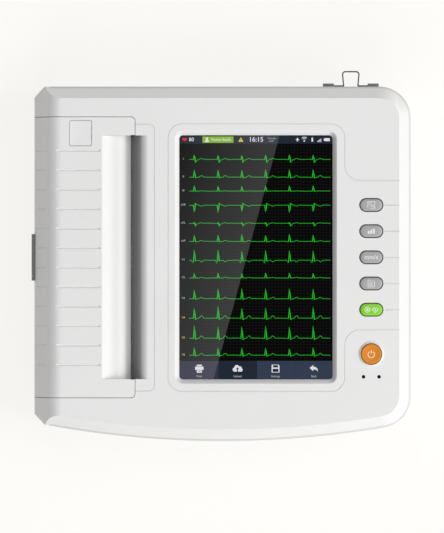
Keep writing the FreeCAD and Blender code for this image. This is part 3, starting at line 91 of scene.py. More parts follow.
# Takes the range fromLow..fromHigh of a value to low..high, and holds it there beyond the ends.
def spread(tree, value, low, high, fromLow=0.3, fromHigh=0.7):
    ends = {"From Min": fromLow, "From Max": fromHigh, "To Min": low, "To Max": high}
    node = addNode(tree, "ShaderNodeMapRange", ends)
    tree.links.new(value, node.inputs["Value"])
    return node.outputs["Result"]


def mixColours(tree, share, first, second, blend="MIX"):
    node = addNode(tree, "ShaderNodeMix", data_type="RGBA", blend_type=blend)
    for index, item in ((0, share), (6, first), (7, second)):
        if isinstance(item, bpy.types.NodeSocket):
            tree.links.new(item, node.inputs[index])
        else:
            node.inputs[index].default_value = item if index == 0 else (*item[:3], 1)
    return node.outputs[2]


def paint(tree, shader, colour, rough):
    tree.links.new(colour, shader.inputs["Base Color"])
    tree.links.new(rough, shader.inputs["Roughness"])


def bumped(tree, shader, height, strength, distance, base=None):
    node = addNode(tree, "ShaderNodeBump", {"Strength": strength, "Distance": distance})
    tree.links.new(height, node.inputs["Height"])
    if base is not None:
        tree.links.new(base, node.inputs["Normal"])
    tree.links.new(node.outputs[0], shader.inputs["Normal"])


def axes(tree, place):
    parts = addNode(tree, "ShaderNodeSeparateXYZ")
    tree.links.new(place, parts.inputs[0])
    return parts.outputs


def mathStep(tree, operation, first, second):
    node = addNode(tree, "ShaderNodeMath", operation=operation)
    tree.links.new(first, node.inputs[0])
    tree.links.new(second, node.inputs[1])
    return node.outputs[0]


# Paints shade into a finished material: multiplies its colour by a share, everywhere or only as far as a mask
# says.
def paintShade(material, share, mask=1.0):
    tree = material.node_tree
    colour = next(node for node in tree.nodes if node.type == "BSDF_PRINCIPLED").inputs["Base Color"]
    plain = colour.links[0].from_socket
    tree.links.new(mixColours(tree, mask, plain, share, "MULTIPLY"), colour)


def shade(colour, amount):
    return tuple(max(0.0, min(1.0, c * amount)) for c in colour[:3])


# finishes

mouldings = {
    "shellWhite": {"colour": (0.80, 0.80, 0.795), "rough": 0.42, "grain": 2600, "depth": 0.05, "edge": 0.5},
    "shellLower": {"colour": (0.74, 0.745, 0.745), "rough": 0.46, "grain": 2300, "depth": 0.07, "edge": 0.5},
    "panelGrey": {"colour": (0.30, 0.31, 0.32), "rough": 0.5, "grain": 2300, "depth": 0.08, "edge": 0.3},
    "blackMoulding": {"colour": (0.018, 0.018, 0.02), "rough": 0.38, "grain": 2200, "depth": 0.06,
                      "edge": 0.25},
    "hingePaint": {"colour": (0.24, 0.24, 0.245), "rough": 0.55, "grain": 1800, "depth": 0.1, "edge": 0.2},
    "clipGrey": {"colour": (0.22, 0.22, 0.22), "rough": 0.42, "grain": 2300, "depth": 0.06, "edge": 0.3},
    "trayGrey": {"colour": (0.10, 0.105, 0.11), "rough": 0.5, "grain": 1900, "depth": 0.09, "edge": 0.4},
    "gearWhite": {"colour": (0.78, 0.77, 0.72), "rough": 0.33, "grain": 1500, "depth": 0.03, "edge": 0.2},
    "paperWhite": {"colour": (0.86, 0.85, 0.82), "rough": 0.7, "grain": 3800, "depth": 0.10, "edge": 0.1},
    "batterySleeve": {"colour": (0.02, 0.026, 0.04), "rough": 0.28, "grain": 900, "depth": 0.05, "edge": 0.2},
    "smokedLens": {"colour": (0.008, 0.008, 0.009), "rough": 0.12, "grain": 900, "depth": 0.01, "edge": 0.1},
}


# Satin plastic: fine spark texture, a slow drift of tone with a few darker specks, and softly rounded edges.
def mouldedPlastic(name):
    look = mouldings[name]
    material, tree, shader = newMaterial(name)
    place = objectPlace(tree)
    drift = spread(tree, noise(tree, place, 9.0, 2.0), 0.0, 1.0)
    colour = mixColours(tree, drift, shade(look["colour"], 0.985), shade(look["colour"], 1.012))
    specks = spread(tree, noise(tree, place, look["grain"] * 0.35, 2.0), 0.0, 0.05, 0.55, 0.8)
    colour = mixColours(tree, specks, colour, shade(look["colour"], 0.8))
    finger = noise(tree, place, 34.0, 4.0)
    paint(tree, shader, colour, spread(tree, finger, look["rough"] - 0.05, look["rough"] + 0.06))
    rounded = addNode(tree, "ShaderNodeBevel", {"Radius": look["edge"] * mm}, samples=4)
    bumped(tree, shader, noise(tree, place, look["grain"], 2.0), look["depth"], 0.05 * mm, rounded.outputs[0])
    shader.inputs["Specular IOR Level"].default_value = 0.4
    return material


metals = {
    "plainSteel": {"colour": (0.56, 0.56, 0.57), "rough": 0.3, "brush": (60, 900, 900)},
    "zincSheet": {"colour": (0.60, 0.61, 0.62), "rough": 0.36, "brush": (900, 50, 900)},
    "clipWire": {"colour": (0.10, 0.10, 0.105), "rough": 0.32, "brush": (500, 500, 500)},
    "heatSinkAlloy": {"colour": (0.66, 0.67, 0.69), "rough": 0.34, "brush": (900, 40, 900)},
    "cutBrass": {"colour": (0.68, 0.47, 0.16), "rough": 0.27, "brush": (700, 700, 60)},
    "platedShell": {"colour": (0.62, 0.62, 0.61), "rough": 0.2, "brush": (400, 60, 400)},
}


# Drawn or rolled metal: fine lines one way, cloudy roughness and a little tarnish.
def workedMetal(name):
    look = metals[name]
    material, tree, shader = newMaterial(name)
    shader.inputs["Metallic"].default_value = 1.0
    lines = noise(tree, objectPlace(tree, look["brush"]), 1.0, 3.0)
    clouds = noise(tree, objectPlace(tree), 60.0, 4.0)
    tarnish = spread(tree, clouds, 0.0, 0.5, 0.45, 0.75)
    colour = mixColours(tree, tarnish, look["colour"], shade(look["colour"], 0.72))
    paint(tree, shader, colour, spread(tree, lines, look["rough"] - 0.07, look["rough"] + 0.1))
    rounded = addNode(tree, "ShaderNodeBevel", {"Radius": 0.12 * mm}, samples=4)
    bumped(tree, shader, lines, 0.12, 0.03 * mm, rounded.outputs[0])
    return material


rubbers = {
    "platenRubber": {"colour": (0.022, 0.022, 0.023), "rough": 0.62, "grain": 1500},
    "footRubber": {"colour": (0.05, 0.05, 0.052), "rough": 0.75, "grain": 900},
    "gasketFoam": {"colour": (0.015, 0.015, 0.015), "rough": 0.9, "grain": 1200},
    "domeSilicone": {"colour": (0.42, 0.42, 0.40), "rough": 0.55, "grain": 800},
}


# Dull rubber: a pale bloom in patches over a fine, matt grain.
def dullRubber(name):
    look = rubbers[name]
    material, tree, shader = newMaterial(name)
    place = objectPlace(tree)
    bloom = spread(tree, noise(tree, place, 120.0, 4.0), 0.0, 0.4, 0.45, 0.8)
    colour = mixColours(tree, bloom, look["colour"], shade(look["colour"], 1.9))
    wear = noise(tree, place, 300.0)
    paint(tree, shader, colour, spread(tree, wear, look["rough"] - 0.08, look["rough"] + 0.08))
    bumped(tree, shader, noise(tree, place, look["grain"], 4.0), 0.25, 0.08 * mm)
    return material


# Circuit board: green mask over a faint grid of tracks.
def circuitBoard(name):
    material, tree, shader = newMaterial(name)
    place = objectPlace(tree)
    tracks = addNode(tree, "ShaderNodeTexBrick", {
        "Scale": 240.0, "Mortar Size": 0.06,
        "Color1": (0.01, 0.09, 0.03, 1), "Color2": (0.008, 0.07, 0.025, 1), "Mortar": (0.03, 0.17, 0.06, 1),
    })
    tree.links.new(place, tracks.inputs["Vector"])
    paint(tree, shader, tracks.outputs["Color"], spread(tree, noise(tree, place, 90.0), 0.28, 0.42))
    bumped(tree, shader, tracks.outputs["Fac"], 0.2, 0.05 * mm)
    return material


def glazedCeramic(name):
    material, tree, shader = newMaterial(name)
    streaks = noise(tree, objectPlace(tree, (400, 30, 400)), 1.0, 3.0)
    colour = mixColours(tree, spread(tree, streaks, 0.0, 1.0), (0.36, 0.34, 0.29), (0.46, 0.44, 0.38))
    paint(tree, shader, colour, spread(tree, streaks, 0.12, 0.24))
    bumped(tree, shader, streaks, 0.05, 0.03 * mm)
    return material


def rolledCard(name):
    material, tree, shader = newMaterial(name)
    layers = noise(tree, objectPlace(tree, (1800, 30, 1800)), 1.0, 3.0)
    colour = mixColours(tree, spread(tree, layers, 0.0, 1.0), (0.36, 0.24, 0.13), (0.50, 0.36, 0.22))
    paint(tree, shader, colour, spread(tree, layers, 0.7, 0.88))
    bumped(tree, shader, layers, 0.3, 0.06 * mm)
    return material


def dressNode(name, material):
    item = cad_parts[name]
    if not item.material_slots:
        item.data.materials.append(None)
    for slot in item.material_slots:
        slot.material = material


# The paper exit has painted shade: its colour gets darker towards the slot, standing in for the shade there.
# Places are in millimetres, and the stops count from the slot to the right, each with the share of colour
# that is left.
exitPaintedShade = {
    "span": (-12.0, 14.0), "slotX": -79.65, "front": -109.7, "rear": 107.2, "soft": 0.2,
    "top_case": ((0.5, 0.32), (7.0, 0.35), (8.4, 0.54), (9.6, 0.88), (11.0, 1.0)),
    "paper_cover": ((-11.9, 1.0), (-10.8, 0.97), (-8.6, 0.88), (-5.0, 0.98), (-2.6, 0.88), (-1.0, 1.0)),
}


def paintExitShade(node):
    look = exitPaintedShade
    material = mouldedPlastic("shellWhite")
    material.name = node + "Exit"
    tree = material.node_tree
    across, along, _ = axes(tree, objectPlace(tree))
    low, high = look["span"]
    ramp = addNode(tree, "ShaderNodeValToRGB")
    stops = look[node]
    while len(ramp.color_ramp.elements) < len(stops):
        ramp.color_ramp.elements.new(0.5)
    for element, (place, share) in zip(ramp.color_ramp.elements, stops):
        element.position = (place - low) / (high - low)
        element.color = (share, share, share, 1)
    fromLow, fromHigh = ((look["slotX"] + end) * mm for end in (low, high))
    tree.links.new(spread(tree, across, 0.0, 1.0, fromLow, fromHigh), ramp.inputs[0])
    front, rear, soft = (look[name] * mm for name in ("front", "rear", "soft"))
    behindFront = spread(tree, along, 0.0, 1.0, front - soft, front + soft)
    beforeRear = spread(tree, along, 1.0, 0.0, rear - soft, rear + soft)
    paintShade(material, ramp.outputs[0], mathStep(tree, "MULTIPLY", behindFront, beforeRear))
    return material


# The sloping rim round the screen has painted shade, darker than the face, most of all where it leans away
# from the main light. Shares of colour left at each side, and the rim's outer size in millimetres.
rimPaintedShade = {"left": 0.91, "right": 0.58, "top": 0.92, "foot": 0.78, "halfWidth": 72.1, "halfDepth": 112.5,
            "cornerRadius": 7.0, "overlap": 0.3, "soft": 2.4, "sideWidth": 7.0, "turn": 4.0}


def paintRimShade(material):
    tree = material.node_tree
    look = rimPaintedShade
    sides = ("halfWidth", "halfDepth")
    reach = (*((look[side] - look["cornerRadius"]) * mm for side in sides), 1.0)

    def vectorStep(operation, first, second=None):
        node = addNode(tree, "ShaderNodeVectorMath", operation=operation)
        tree.links.new(first, node.inputs[0])
        if second is not None:
            node.inputs[1].default_value = second
        return node.outputs["Value" if operation == "LENGTH" else "Vector"]

    fromMiddle = vectorStep("SUBTRACT", objectPlace(tree), middleAndTop("touch_glass")[0])
    pastStraight = vectorStep("SUBTRACT", vectorStep("ABSOLUTE", fromMiddle), reach)
    outside = vectorStep("MAXIMUM", pastStraight, (0, 0, 0))
    edge, soft = (look["cornerRadius"] + look["overlap"]) * mm, look["soft"] * mm
    inside = spread(tree, vectorStep("LENGTH", outside), 1.0, 0.0, edge - soft, edge)
    x, y, _ = axes(tree, fromMiddle)
    turnX, turnY = ((look[side] - look["sideWidth"]) * mm for side in sides)
    turn = look["turn"] * mm
    across = spread(tree, x, look["left"], look["right"], turnX, turnX + turn)
    along = spread(tree, y, look["foot"], look["top"], -turnY - turn, -turnY)
    paintShade(material, mathStep(tree, "MINIMUM", across, along), inside)
    return material


# The shell has painted shade: darker where it is steep, below the edge of the bevel, and down the right side.
# Shares of colour left, with places in millimetres.
sidePaintedShade = {
    "rightFrom": 158.6, "rightShare": 0.93, "rightSoft": 1.0, "steepShare": 0.91, "steepRange": (0.32, 0.48),
    "lowBelow": 65.2, "lowShare": 0.78, "lowSoft": 0.5, "lowFrom": -152.0,
}


def paintSideShade(material):
    tree = material.node_tree
    look = sidePaintedShade
    x, _, z = axes(tree, objectPlace(tree))
    upward = axes(tree, addNode(tree, "ShaderNodeTexCoord").outputs["Normal"])[2]
    right, rightSoft, brim, lowSoft, slopeEnd = (
        look[name] * mm for name in ("rightFrom", "rightSoft", "lowBelow", "lowSoft", "lowFrom"))
    beyond = spread(tree, x, 1.0, look["rightShare"], right - rightSoft, right + rightSoft)
    steep = spread(tree, upward, look["steepShare"], 1.0, *look["steepRange"])
    low = spread(tree, z, look["lowShare"], 1.0, brim - lowSoft, brim + lowSoft)
    onSlope = spread(tree, x, 1.0, 0.0, slopeEnd - 1.0 * mm, slopeEnd)
    for share in (beyond, steep, mixColours(tree, onSlope, low, (1, 1, 1))):
        paintShade(material, share)
    return material


nodeFinishes = {
    mouldedPlastic("shellWhite"): ("release_button",),
    # The top case and the paper cover carry painted shade at the paper exit, the screen's rim and the sides.
    paintSideShade(paintRimShade(paintExitShade("top_case"))): ("top_case",),
    paintSideShade(paintExitShade("paper_cover")): ("paper_cover",),
    mouldedPlastic("shellLower"): ("bottom_case", "battery_door"),
    mouldedPlastic("blackMoulding"): (
        "speaker", "platen_bushings", "roll_spindle", "latch_lever", "mains_inlet"),
    mouldedPlastic("gearWhite"): ("platen_gear", "idler_gear"),
    mouldedPlastic("hingePaint"): ("hinge_leaf_cover", "hinge_leaf_case"),
    mouldedPlastic("clipGrey"): ("clip_holder_left", "clip_holder_right"),
    mouldedPlastic("smokedLens"): ("status_lamp_left", "status_lamp_right"),
    mouldedPlastic("panelGrey"): ("rear_panel",),
    mouldedPlastic("trayGrey"): ("paper_tray",),
    mouldedPlastic("batterySleeve"): ("battery_pack",),
    mouldedPlastic("paperWhite"): ("paper_roll",),
    workedMetal("plainSteel"): (
        "case_screws", "rear_screws", "head_springs", "tear_bar", "platen_shaft", "idler_axle",
        "button_spring", "latch_pin", "latch_striker", "hinge_pin"),
    workedMetal("zincSheet"): ("lcd_module", "lcd_bracket", "print_chassis", "feed_motor"),
    workedMetal("clipWire"): ("cord_clip",),
    workedMetal("heatSinkAlloy"): ("head_heatsink",),
    workedMetal("cutBrass"): ("motor_pinion",),
    workedMetal("platedShell"): ("patient_port", "data_ports"),
    dullRubber("footRubber"): ("foot_front_left", "foot_front_right", "foot_rear_left", "foot_rear_right"),
    dullRubber("platenRubber"): ("platen_rubber",),
    dullRubber("gasketFoam"): ("display_gasket",),
    dullRubber("domeSilicone"): ("keypad_domes",),
    circuitBoard("circuitBoard"): ("keypad_board", "main_board", "power_supply"),
    rolledCard("rolledCard"): ("paper_core",),
    glazedCeramic("glazedCeramic"): ("print_head",),
}
for finish, names in nodeFinishes.items():
    for nodeName in names:
        dressNode(nodeName, finish)
print("stage: node finishes")


# flat figures: outlines in millimetres about a middle, gathered into one mesh

def newFigure():
    return {"points": [], "faces": []}


def addShape(figure, outline):
    start = len(figure["points"])
    figure["points"] += outline
    figure["faces"].append(tuple(range(start, start + len(outline))))


def addBar(figure, x, y, width, height):
    addShape(figure, [(x - width / 2, y - height / 2), (x + width / 2, y - height / 2),
                      (x + width / 2, y + height / 2), (x - width / 2, y + height / 2)])


def arcPoints(x, y, radius, fromAngle=0.0, toAngle=360.0, steps=28):
    turns = [math.radians(fromAngle + (toAngle - fromAngle) * i / steps) for i in range(steps + 1)]
    return [(x + radius * math.cos(t), y + radius * math.sin(t)) for t in turns]


def addDisc(figure, x, y, radius):
    addShape(figure, arcPoints(x, y, radius)[:-1])


mitreLimit = 1.5  # how far a corner of a line may be drawn out, in widths


def addLine(figure, points, width):
    left, right = [], []
    for i, point in enumerate(points):
        here = Vector(point)
        before = (here - Vector(points[i - 1])).normalized() if i else None
        after = (Vector(points[i + 1]) - here).normalized() if i + 1 < len(points) else None
        along = (before or after) + (after or before)
        along = along.normalized() if along.length > 0.01 else (after or before)
        side = Vector((-along.y, along.x))
        across = Vector((-(after or before).y, (after or before).x))
        reach = width / 2 * min(mitreLimit, 1 / max(0.3, abs(side.dot(across))))
        left.append(tuple(here + side * reach))
        right.append(tuple(here - side * reach))
    start = len(figure["points"])
    figure["points"] += left + right
    count = len(points)
    figure["faces"] += [(i, count + i, count + i + 1, i + 1) for i in range(start, start + count - 1)]


def addWords(figure, words, x, y, height):
    data = bpy.data.curves.new("words", "FONT")
    data.body = words
    data.size = height * 1.4
    data.align_x = "CENTER"
    data.align_y = "CENTER"
    data.offset = height * 0.016
    holder = bpy.data.objects.new("words", data)
    mesh = bpy.data.meshes.new_from_object(holder)
    start = len(figure["points"])
    figure["points"] += [(x + v.co.x, y + v.co.y) for v in mesh.vertices]
    figure["faces"] += [tuple(start + i for i in face.vertices) for face in mesh.polygons]
    bpy.data.objects.remove(holder)
    bpy.data.curves.remove(data)
    bpy.data.meshes.remove(mesh)


# Turns a figure into a piece: middle and height are in metres, and the film's thickness in millimetres.
def placeFigure(name, figure, middle, height, material, film, body):
    mesh = bpy.data.meshes.new(name)
    points = [(middle[0] + x * mm, middle[1] + y * mm, height) for x, y in figure["points"]]
    mesh.from_pydata(points, [], figure["faces"])
    form = bmesh.new()
    form.from_mesh(mesh)
    bmesh.ops.recalc_face_normals(form, faces=form.faces)
    for face in form.faces:
        if face.normal.z < 0:
            face.normal_flip()
    form.to_mesh(mesh)
    form.free()
    mesh.materials.append(material)
    piece = bpy.data.objects.new(name, mesh)
    scene.collection.objects.link(piece)
    thickness = piece.modifiers.new("film", "SOLIDIFY")
    thickness.thickness = film * mm
    thickness.offset = 1.0
    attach(piece, body)


# display picture

# colours that the display gives off
litColours = {
    "traceGreen": (0.006, 0.66, 0.010),
    "letterWhite": (0.78, 0.79, 0.82),
    "letterDim": (0.42, 0.43, 0.46),
    "letterYellow": (0.60, 0.55, 0.01),
    "heartRed": (0.80, 0.02, 0.02),
    "warningYellow": (0.80, 0.66, 0.02),
    "patientGreen": (0.24, 0.50, 0.012),
    "plotGrid": (0.0068, 0.0060, 0.0062),
    "plotBlack": (0.0006, 0.0003, 0.0004),
    "barNavy": (0.0155, 0.0225, 0.0375),
    "buttonPlum": (0.032, 0.036, 0.064),
    "buttonNavy": (0.0155, 0.0225, 0.0375),
    "buttonSlate": (0.034, 0.049, 0.083),
}


# Lit display film: glossy and black when dark, with faint upright stripes in its glow.
def litFilm(name):
    colour = litColours[name]
    material, tree, shader = newMaterial(name)
    place = objectPlace(tree)
    shader.inputs["Base Color"].default_value = (0.0003, 0.0003, 0.0003, 1)
    columns = addNode(tree, "ShaderNodeTexWave", {"Scale": 1400.0, "Distortion": 0.0}, bands_direction="X")
    tree.links.new(place, columns.inputs["Vector"])
    glow = mixColours(tree, columns.outputs["Fac"], shade(colour, 0.86), colour)
    unevenness = spread(tree, noise(tree, place, 45.0, 2.0), 0.0, 0.22)
    glow = mixColours(tree, unevenness, glow, shade(colour, 0.8))
    tree.links.new(glow, shader.inputs["Emission Color"])
    shader.inputs["Emission Strength"].default_value = 1.0
    tree.links.new(spread(tree, noise(tree, place, 70.0), 0.005, 0.012), shader.inputs["Roughness"])
    shader.inputs["Specular IOR Level"].default_value = 0.12
    return material


litFilms = {name: litFilm(name) for name in litColours}


# Places and sizes are in millimetres from the middle of the glass.
displayPicture = {
    "halfWidth": 68.3, "halfHeight": 108.8, "statusHeight": 7.6, "gridPitch": 2.85, "gridWidth": 0.62,
    "beatGap": 21.18, "firstBeat": -54.9, "beats": 6, "traceFrom": -59.4, "traceTo": 66.4,
    "traceWidth": 0.36, "spikeWidth": 0.82,
    "labelX": -64.6, "labelLift": 0.5, "labelHeight": 1.8, "yellowLabels": ("V4", "V5", "V6"),
    "buttonHeight": 16.8, "buttonSplits": (-33.4, 0.9, 34.7), "buttonGap": 0.12,
    "iconX": (-50.4, -16.4, 17.5, 51.6), "iconDrop": 7.1, "wordDrop": 14.0, "wordHeight": 1.8,
    "buttonWords": ("Print", "Upload", "Settings", "Back"),
    "buttonColours": ("buttonPlum", "buttonNavy", "buttonSlate", "buttonSlate"),
}
# lead name, baseline, R wave, dip before it, dip after it, T wave, all in millimetres
leads = (
    ("I", 87.2, 3.7, 0.2, 2.6, 0.9), ("II", 71.4, 6.6, 0.2, 0.7, 1.4), ("III", 59.0, 4.4, 0.2, 0.3, 0.2),
    ("aVR", 46.4, -6.0, 0.0, -1.8, -0.9), ("aVL", 30.3, 0.3, 0.2, 2.4, 0.5),
    ("aVF", 14.2, 5.8, 0.2, 0.5, 0.8), ("V1", -2.6, 8.8, 2.6, 0.8, -1.4), ("V2", -18.4, 3.9, 0.2, 0.1, 0.6),
    ("V3", -36.8, 8.2, 0.3, 0.7, 1.2), ("V4", -54.2, 9.9, 0.2, 1.2, 2.3), ("V5", -72.0, 11.0, 0.4, 1.2, 2.1),
    ("V6", -87.2, 6.2, 0.2, 0.9, 1.7),
)


# One lead across the screen: a thin line through every beat, and a thicker stroke up each spike.
def addTrace(figure, lead, wander):
    _, base, peak, before, after, tWave = lead
    look = displayPicture
    points = [(look["traceFrom"], base + wander.uniform(-0.3, 0.0))]
    for beat in range(look["beats"]):
        x = look["firstBeat"] + look["beatGap"] * beat
        height = peak * wander.uniform(0.86, 1.08)
        top, knee = base + height, base + height * 0.45
        points += [(x - 2.6, base + wander.uniform(-0.15, 0.15)), (x - 1.0, base - before), (x - 0.1, top),
                   (x + 0.45, knee), (x + 1.2, base - after), (x + 2.6, base - after * 0.25)]
        spike = [(x - 0.75, base - before * 0.5), (x - 0.1, top), (x + 0.55, knee), (x + 1.1, base - after)]
        addLine(figure, spike, look["spikeWidth"])
        rise = [(x + 4.0 + i * 0.8, base + tWave * math.sin(math.pi * i / 6) ** 2) for i in range(7)]
        points += [(px, py + wander.uniform(-0.08, 0.08)) for px, py in rise]
        points += [(x + 9.6 + i * 1.7, base + wander.uniform(-0.16, 0.16)) for i in range(4)]
    points = [p for p in points if p[0] < look["traceTo"] - 0.5] + [(look["traceTo"], base)]
    addLine(figure, points, look["traceWidth"])


def statusIcons(white, x, y):
    addDisc(white, x - 6.5, y - 1.2, 0.7)
    addLine(white, arcPoints(x - 6.5, y - 1.2, 2.2, 50, 130, 8), 0.55)
    addLine(white, arcPoints(x - 6.5, y - 1.2, 3.5, 50, 130, 8), 0.55)
    addLine(white, [(x - 12.6, y - 1.6), (x - 12.6, y + 1.6)], 0.9)
    addLine(white, [(x - 14.0, y), (x - 11.2, y)], 0.9)
    addBar(white, x + 0.6, y - 0.2, 1.5, 3.2)
    addBar(white, x + 0.6, y + 1.7, 0.8, 0.6)
    for i in range(4):
        addBar(white, x + 5.4 + i * 0.95, y - 1.6 + i * 0.35, 0.6, 0.9 + i * 0.7)
    addBar(white, x + 13.8, y, 4.8, 2.7)
    addBar(white, x + 11.1, y, 0.7, 1.3)


def printerIcon(white, dark, x, y):
    addBar(white, x, y + 2.7, 4.6, 1.5)
    addBar(white, x, y + 0.3, 7.4, 3.0)
    addBar(white, x, y - 2.5, 4.6, 2.4)
    addBar(dark, x, y + 1.75, 5.0, 0.35)
    addBar(dark, x, y - 1.3, 5.0, 0.35)
    addBar(dark, x, y - 2.6, 3.0, 0.35)


def cloudIcon(white, dark, x, y):
    for dx, dy, radius in ((-2.5, -0.9, 1.8), (-0.6, 0.9, 2.3), (2.0, 0.1, 1.9), (3.1, -1.2, 1.5)):
        addDisc(white, x + dx, y + dy, radius)
    addBar(white, x + 0.2, y - 1.9, 6.2, 1.6)
    addShape(dark, [(x - 1.4, y - 0.6), (x + 1.4, y - 0.6), (x, y + 1.2)])
    addBar(dark, x, y - 1.7, 0.9, 2.2)


def diskIcon(white, dark, x, y):
    half, cut = 3.5, 0.9
    addShape(white, [(x - half, y - half), (x + half, y - half), (x + half, y + half - cut),
                     (x + half - cut, y + half), (x - half, y + half)])
    addBar(dark, x, y + 2.0, 4.4, 2.0)
    addBar(white, x + 1.0, y + 2.0, 0.9, 1.5)
    addBar(dark, x, y - 1.6, 5.2, 2.7)
    addBar(white, x, y - 1.1, 4.0, 0.4)
    addBar(white, x, y - 2.1, 4.0, 0.4)


def backIcon(white, dark, x, y):
    outline = ((-3.7, 0.5), (-0.5, 3.3), (-0.5, 1.7), (1.6, 1.4), (3.2, -0.1), (3.6, -2.7), (2.4, -1.3),
               (0.9, -0.8), (-0.5, -0.8), (-0.5, -2.3))
    addShape(white, [(x + dx, y + dy) for dx, dy in outline])


displayMiddle, glassTop = middleAndTop("touch_glass")
statusBottom = displayPicture["halfHeight"] - displayPicture["statusHeight"]
buttonTop = displayPicture["buttonHeight"] - displayPicture["halfHeight"]
# colour of each printed layer, its lift above the glass and its thickness in millimetres
displayLayers = {
    "grid": ("plotGrid", 0.022, 0.005), "traces": ("traceGreen", 0.03, 0.015),
    "badge": ("patientGreen", 0.022, 0.015), "white": ("letterWhite", 0.045, 0.015),
    "dim": ("letterDim", 0.045, 0.015), "yellow": ("letterYellow", 0.045, 0.015),
    "heart": ("heartRed", 0.045, 0.015), "warning": ("warningYellow", 0.045, 0.015),
    "badge_words": ("letterWhite", 0.045, 0.015), "dark": ("barNavy", 0.066, 0.015),
}
flatFilm = 0.02  # thickness of the flat colours under the layers, in millimetres


def printLayer(name, figure, colour, lift, film):
    height = glassTop + lift * mm
    placeFigure("display_" + name, figure, displayMiddle, height, litFilms[colour], film, "case")


def printFlats():
    look = displayPicture
    halfX, halfY = look["halfWidth"], look["halfHeight"]
    flats = {name: newFigure() for name in ("barNavy", "plotBlack", *look["buttonColours"])}
    for name, foot, top in (("barNavy", statusBottom, halfY), ("plotBlack", buttonTop, statusBottom)):
        addBar(flats[name], 0, (foot + top) / 2, halfX * 2, top - foot)
    edges = (-halfX, *look["buttonSplits"], halfX)
    for left, right, name in zip(edges, edges[1:], look["buttonColours"]):
        width = right - left - look["buttonGap"]
        addBar(flats[name], (left + right) / 2, (buttonTop - halfY) / 2, width, look["buttonHeight"])
    for name, figure in flats.items():
        printLayer(name, figure, name, 0.0, flatFilm)


def drawGrid(grid):
    look = displayPicture
    step, halfX, height = look["gridPitch"], look["halfWidth"], statusBottom - buttonTop
    for i in range(int(halfX * 2 / step) + 1):
        addBar(grid, -halfX + i * step, (statusBottom + buttonTop) / 2, look["gridWidth"], height)
    for i in range(int(height / step) + 1):
        addBar(grid, 0, buttonTop + i * step, halfX * 2, look["gridWidth"])


def drawLeads(ink):
    look = displayPicture
    wander = random.Random(12)
    for lead in leads:
        name, base = lead[:2]
        addTrace(ink["traces"], lead, wander)
        words = ink["yellow" if name in look["yellowLabels"] else "dim"]
        addWords(words, name, look["labelX"], base + look["labelLift"], look["labelHeight"])


def drawHeart(figure, x, y):
    turns = [2 * math.pi * i / 32 for i in range(32)]
    heights = [13 * math.cos(t) - 5 * math.cos(2 * t) - 2 * math.cos(3 * t) - math.cos(4 * t) for t in turns]
    addShape(figure, [(x + 2.1 * math.sin(t) ** 3, y + 0.118 * height) for t, height in zip(turns, heights)])


# Places along the status bar, right of the glass's middle. Words have their layer, place, lift and height.
statusBar = {
    "heartX": -63.4, "badgeX": -33.8, "badgeSize": (27.6, 5.6), "personX": -43.6, "warningX": -13.4,
    "iconsX": 49.6, "lift": -0.2,
    "words": (("80", "white", -57.4, 0.0, 3.2), ("16:15", "white", 0.2, 0.0, 4.2),
              ("Thursday", "dim", 14.0, 1.2, 1.4), ("12-04", "dim", 13.4, -1.2, 1.4),
              ("Patient details", "badge_words", -31.0, 0.0, 2.2)),
}


def drawStatus(ink):
    look = statusBar
    y = statusBottom + displayPicture["statusHeight"] / 2 + look["lift"]
    white, dark = ink["white"], ink["dark"]
    for words, layer, x, lift, height in look["words"]:
        addWords(ink[layer], words, x, y + lift, height)
    statusIcons(white, look["iconsX"], y)
    drawHeart(ink["heart"], look["heartX"], y + 0.2)
    x = look["warningX"]
    addShape(ink["warning"], [(x - 2.2, y - 1.9), (x + 2.2, y - 1.9), (x, y + 2.1)])
    addBar(dark, x, y - 0.1, 0.45, 1.7)
    addBar(dark, x, y - 1.4, 0.45, 0.4)
    addBar(ink["badge"], look["badgeX"], y, *look["badgeSize"])
    x = look["personX"]
    addDisc(white, x, y + 0.9, 1.1)
    addShape(white, [(x - 1.8, y - 2.1), (x + 1.8, y - 2.1), (x + 1.1, y), (x - 1.1, y)])


def drawButtons(ink):
    look = displayPicture
    icons = (printerIcon, cloudIcon, diskIcon, backIcon)
    for draw, word, x in zip(icons, look["buttonWords"], look["iconX"]):
        draw(ink["white"], ink["dark"], x, buttonTop - look["iconDrop"])
        addWords(ink["dim"], word, x, buttonTop - look["wordDrop"], look["wordHeight"])


def buildDisplay():
    printFlats()
    ink = {name: newFigure() for name in displayLayers}
    drawGrid(ink["grid"])
    drawLeads(ink)
    drawStatus(ink)
    drawButtons(ink)
    for name, (colour, lift, film) in displayLayers.items():
        printLayer(name, ink[name], colour, lift, film)


def glassFinish():
    material, tree, shader = newMaterial("touchGlass")
    place = objectPlace(tree)
    smudge = spread(tree, noise(tree, place, 22.0, 4.0), 0.0, 1.0, 0.45, 0.8)
    colour = mixColours(tree, smudge, (0.002, 0.002, 0.0022), (0.004, 0.004, 0.004))
    paint(tree, shader, colour, spread(tree, noise(tree, place, 60.0), 0.03, 0.07))
    return material


dressNode("touch_glass", glassFinish())
buildDisplay()
print("stage: display picture")


# keys

keyLooks = {
    "keyGrey": {"colour": (0.40, 0.40, 0.40), "rough": 0.34, "glow": 0.0},
    # The green key's glow is painted light: the key gives off a faint light in its own colour.
    "keyGreen": {"colour": (0.235, 0.66, 0.016), "rough": 0.36, "glow": 0.03},
    "keyOrange": {"colour": (0.74, 0.235, 0.010), "rough": 0.42, "glow": 0.0},
    "keyMarks": {"colour": (0.80, 0.80, 0.80), "rough": 0.45, "glow": 0.0},
    # keySkirtPaintedShade is painted shade: a dark grey on the lowest rings of the grey and green keys,
    # standing in for the shade in the gap round them.
    "keySkirtPaintedShade": {"colour": (0.11, 0.11, 0.11), "rough": 0.5, "glow": 0.0},
}
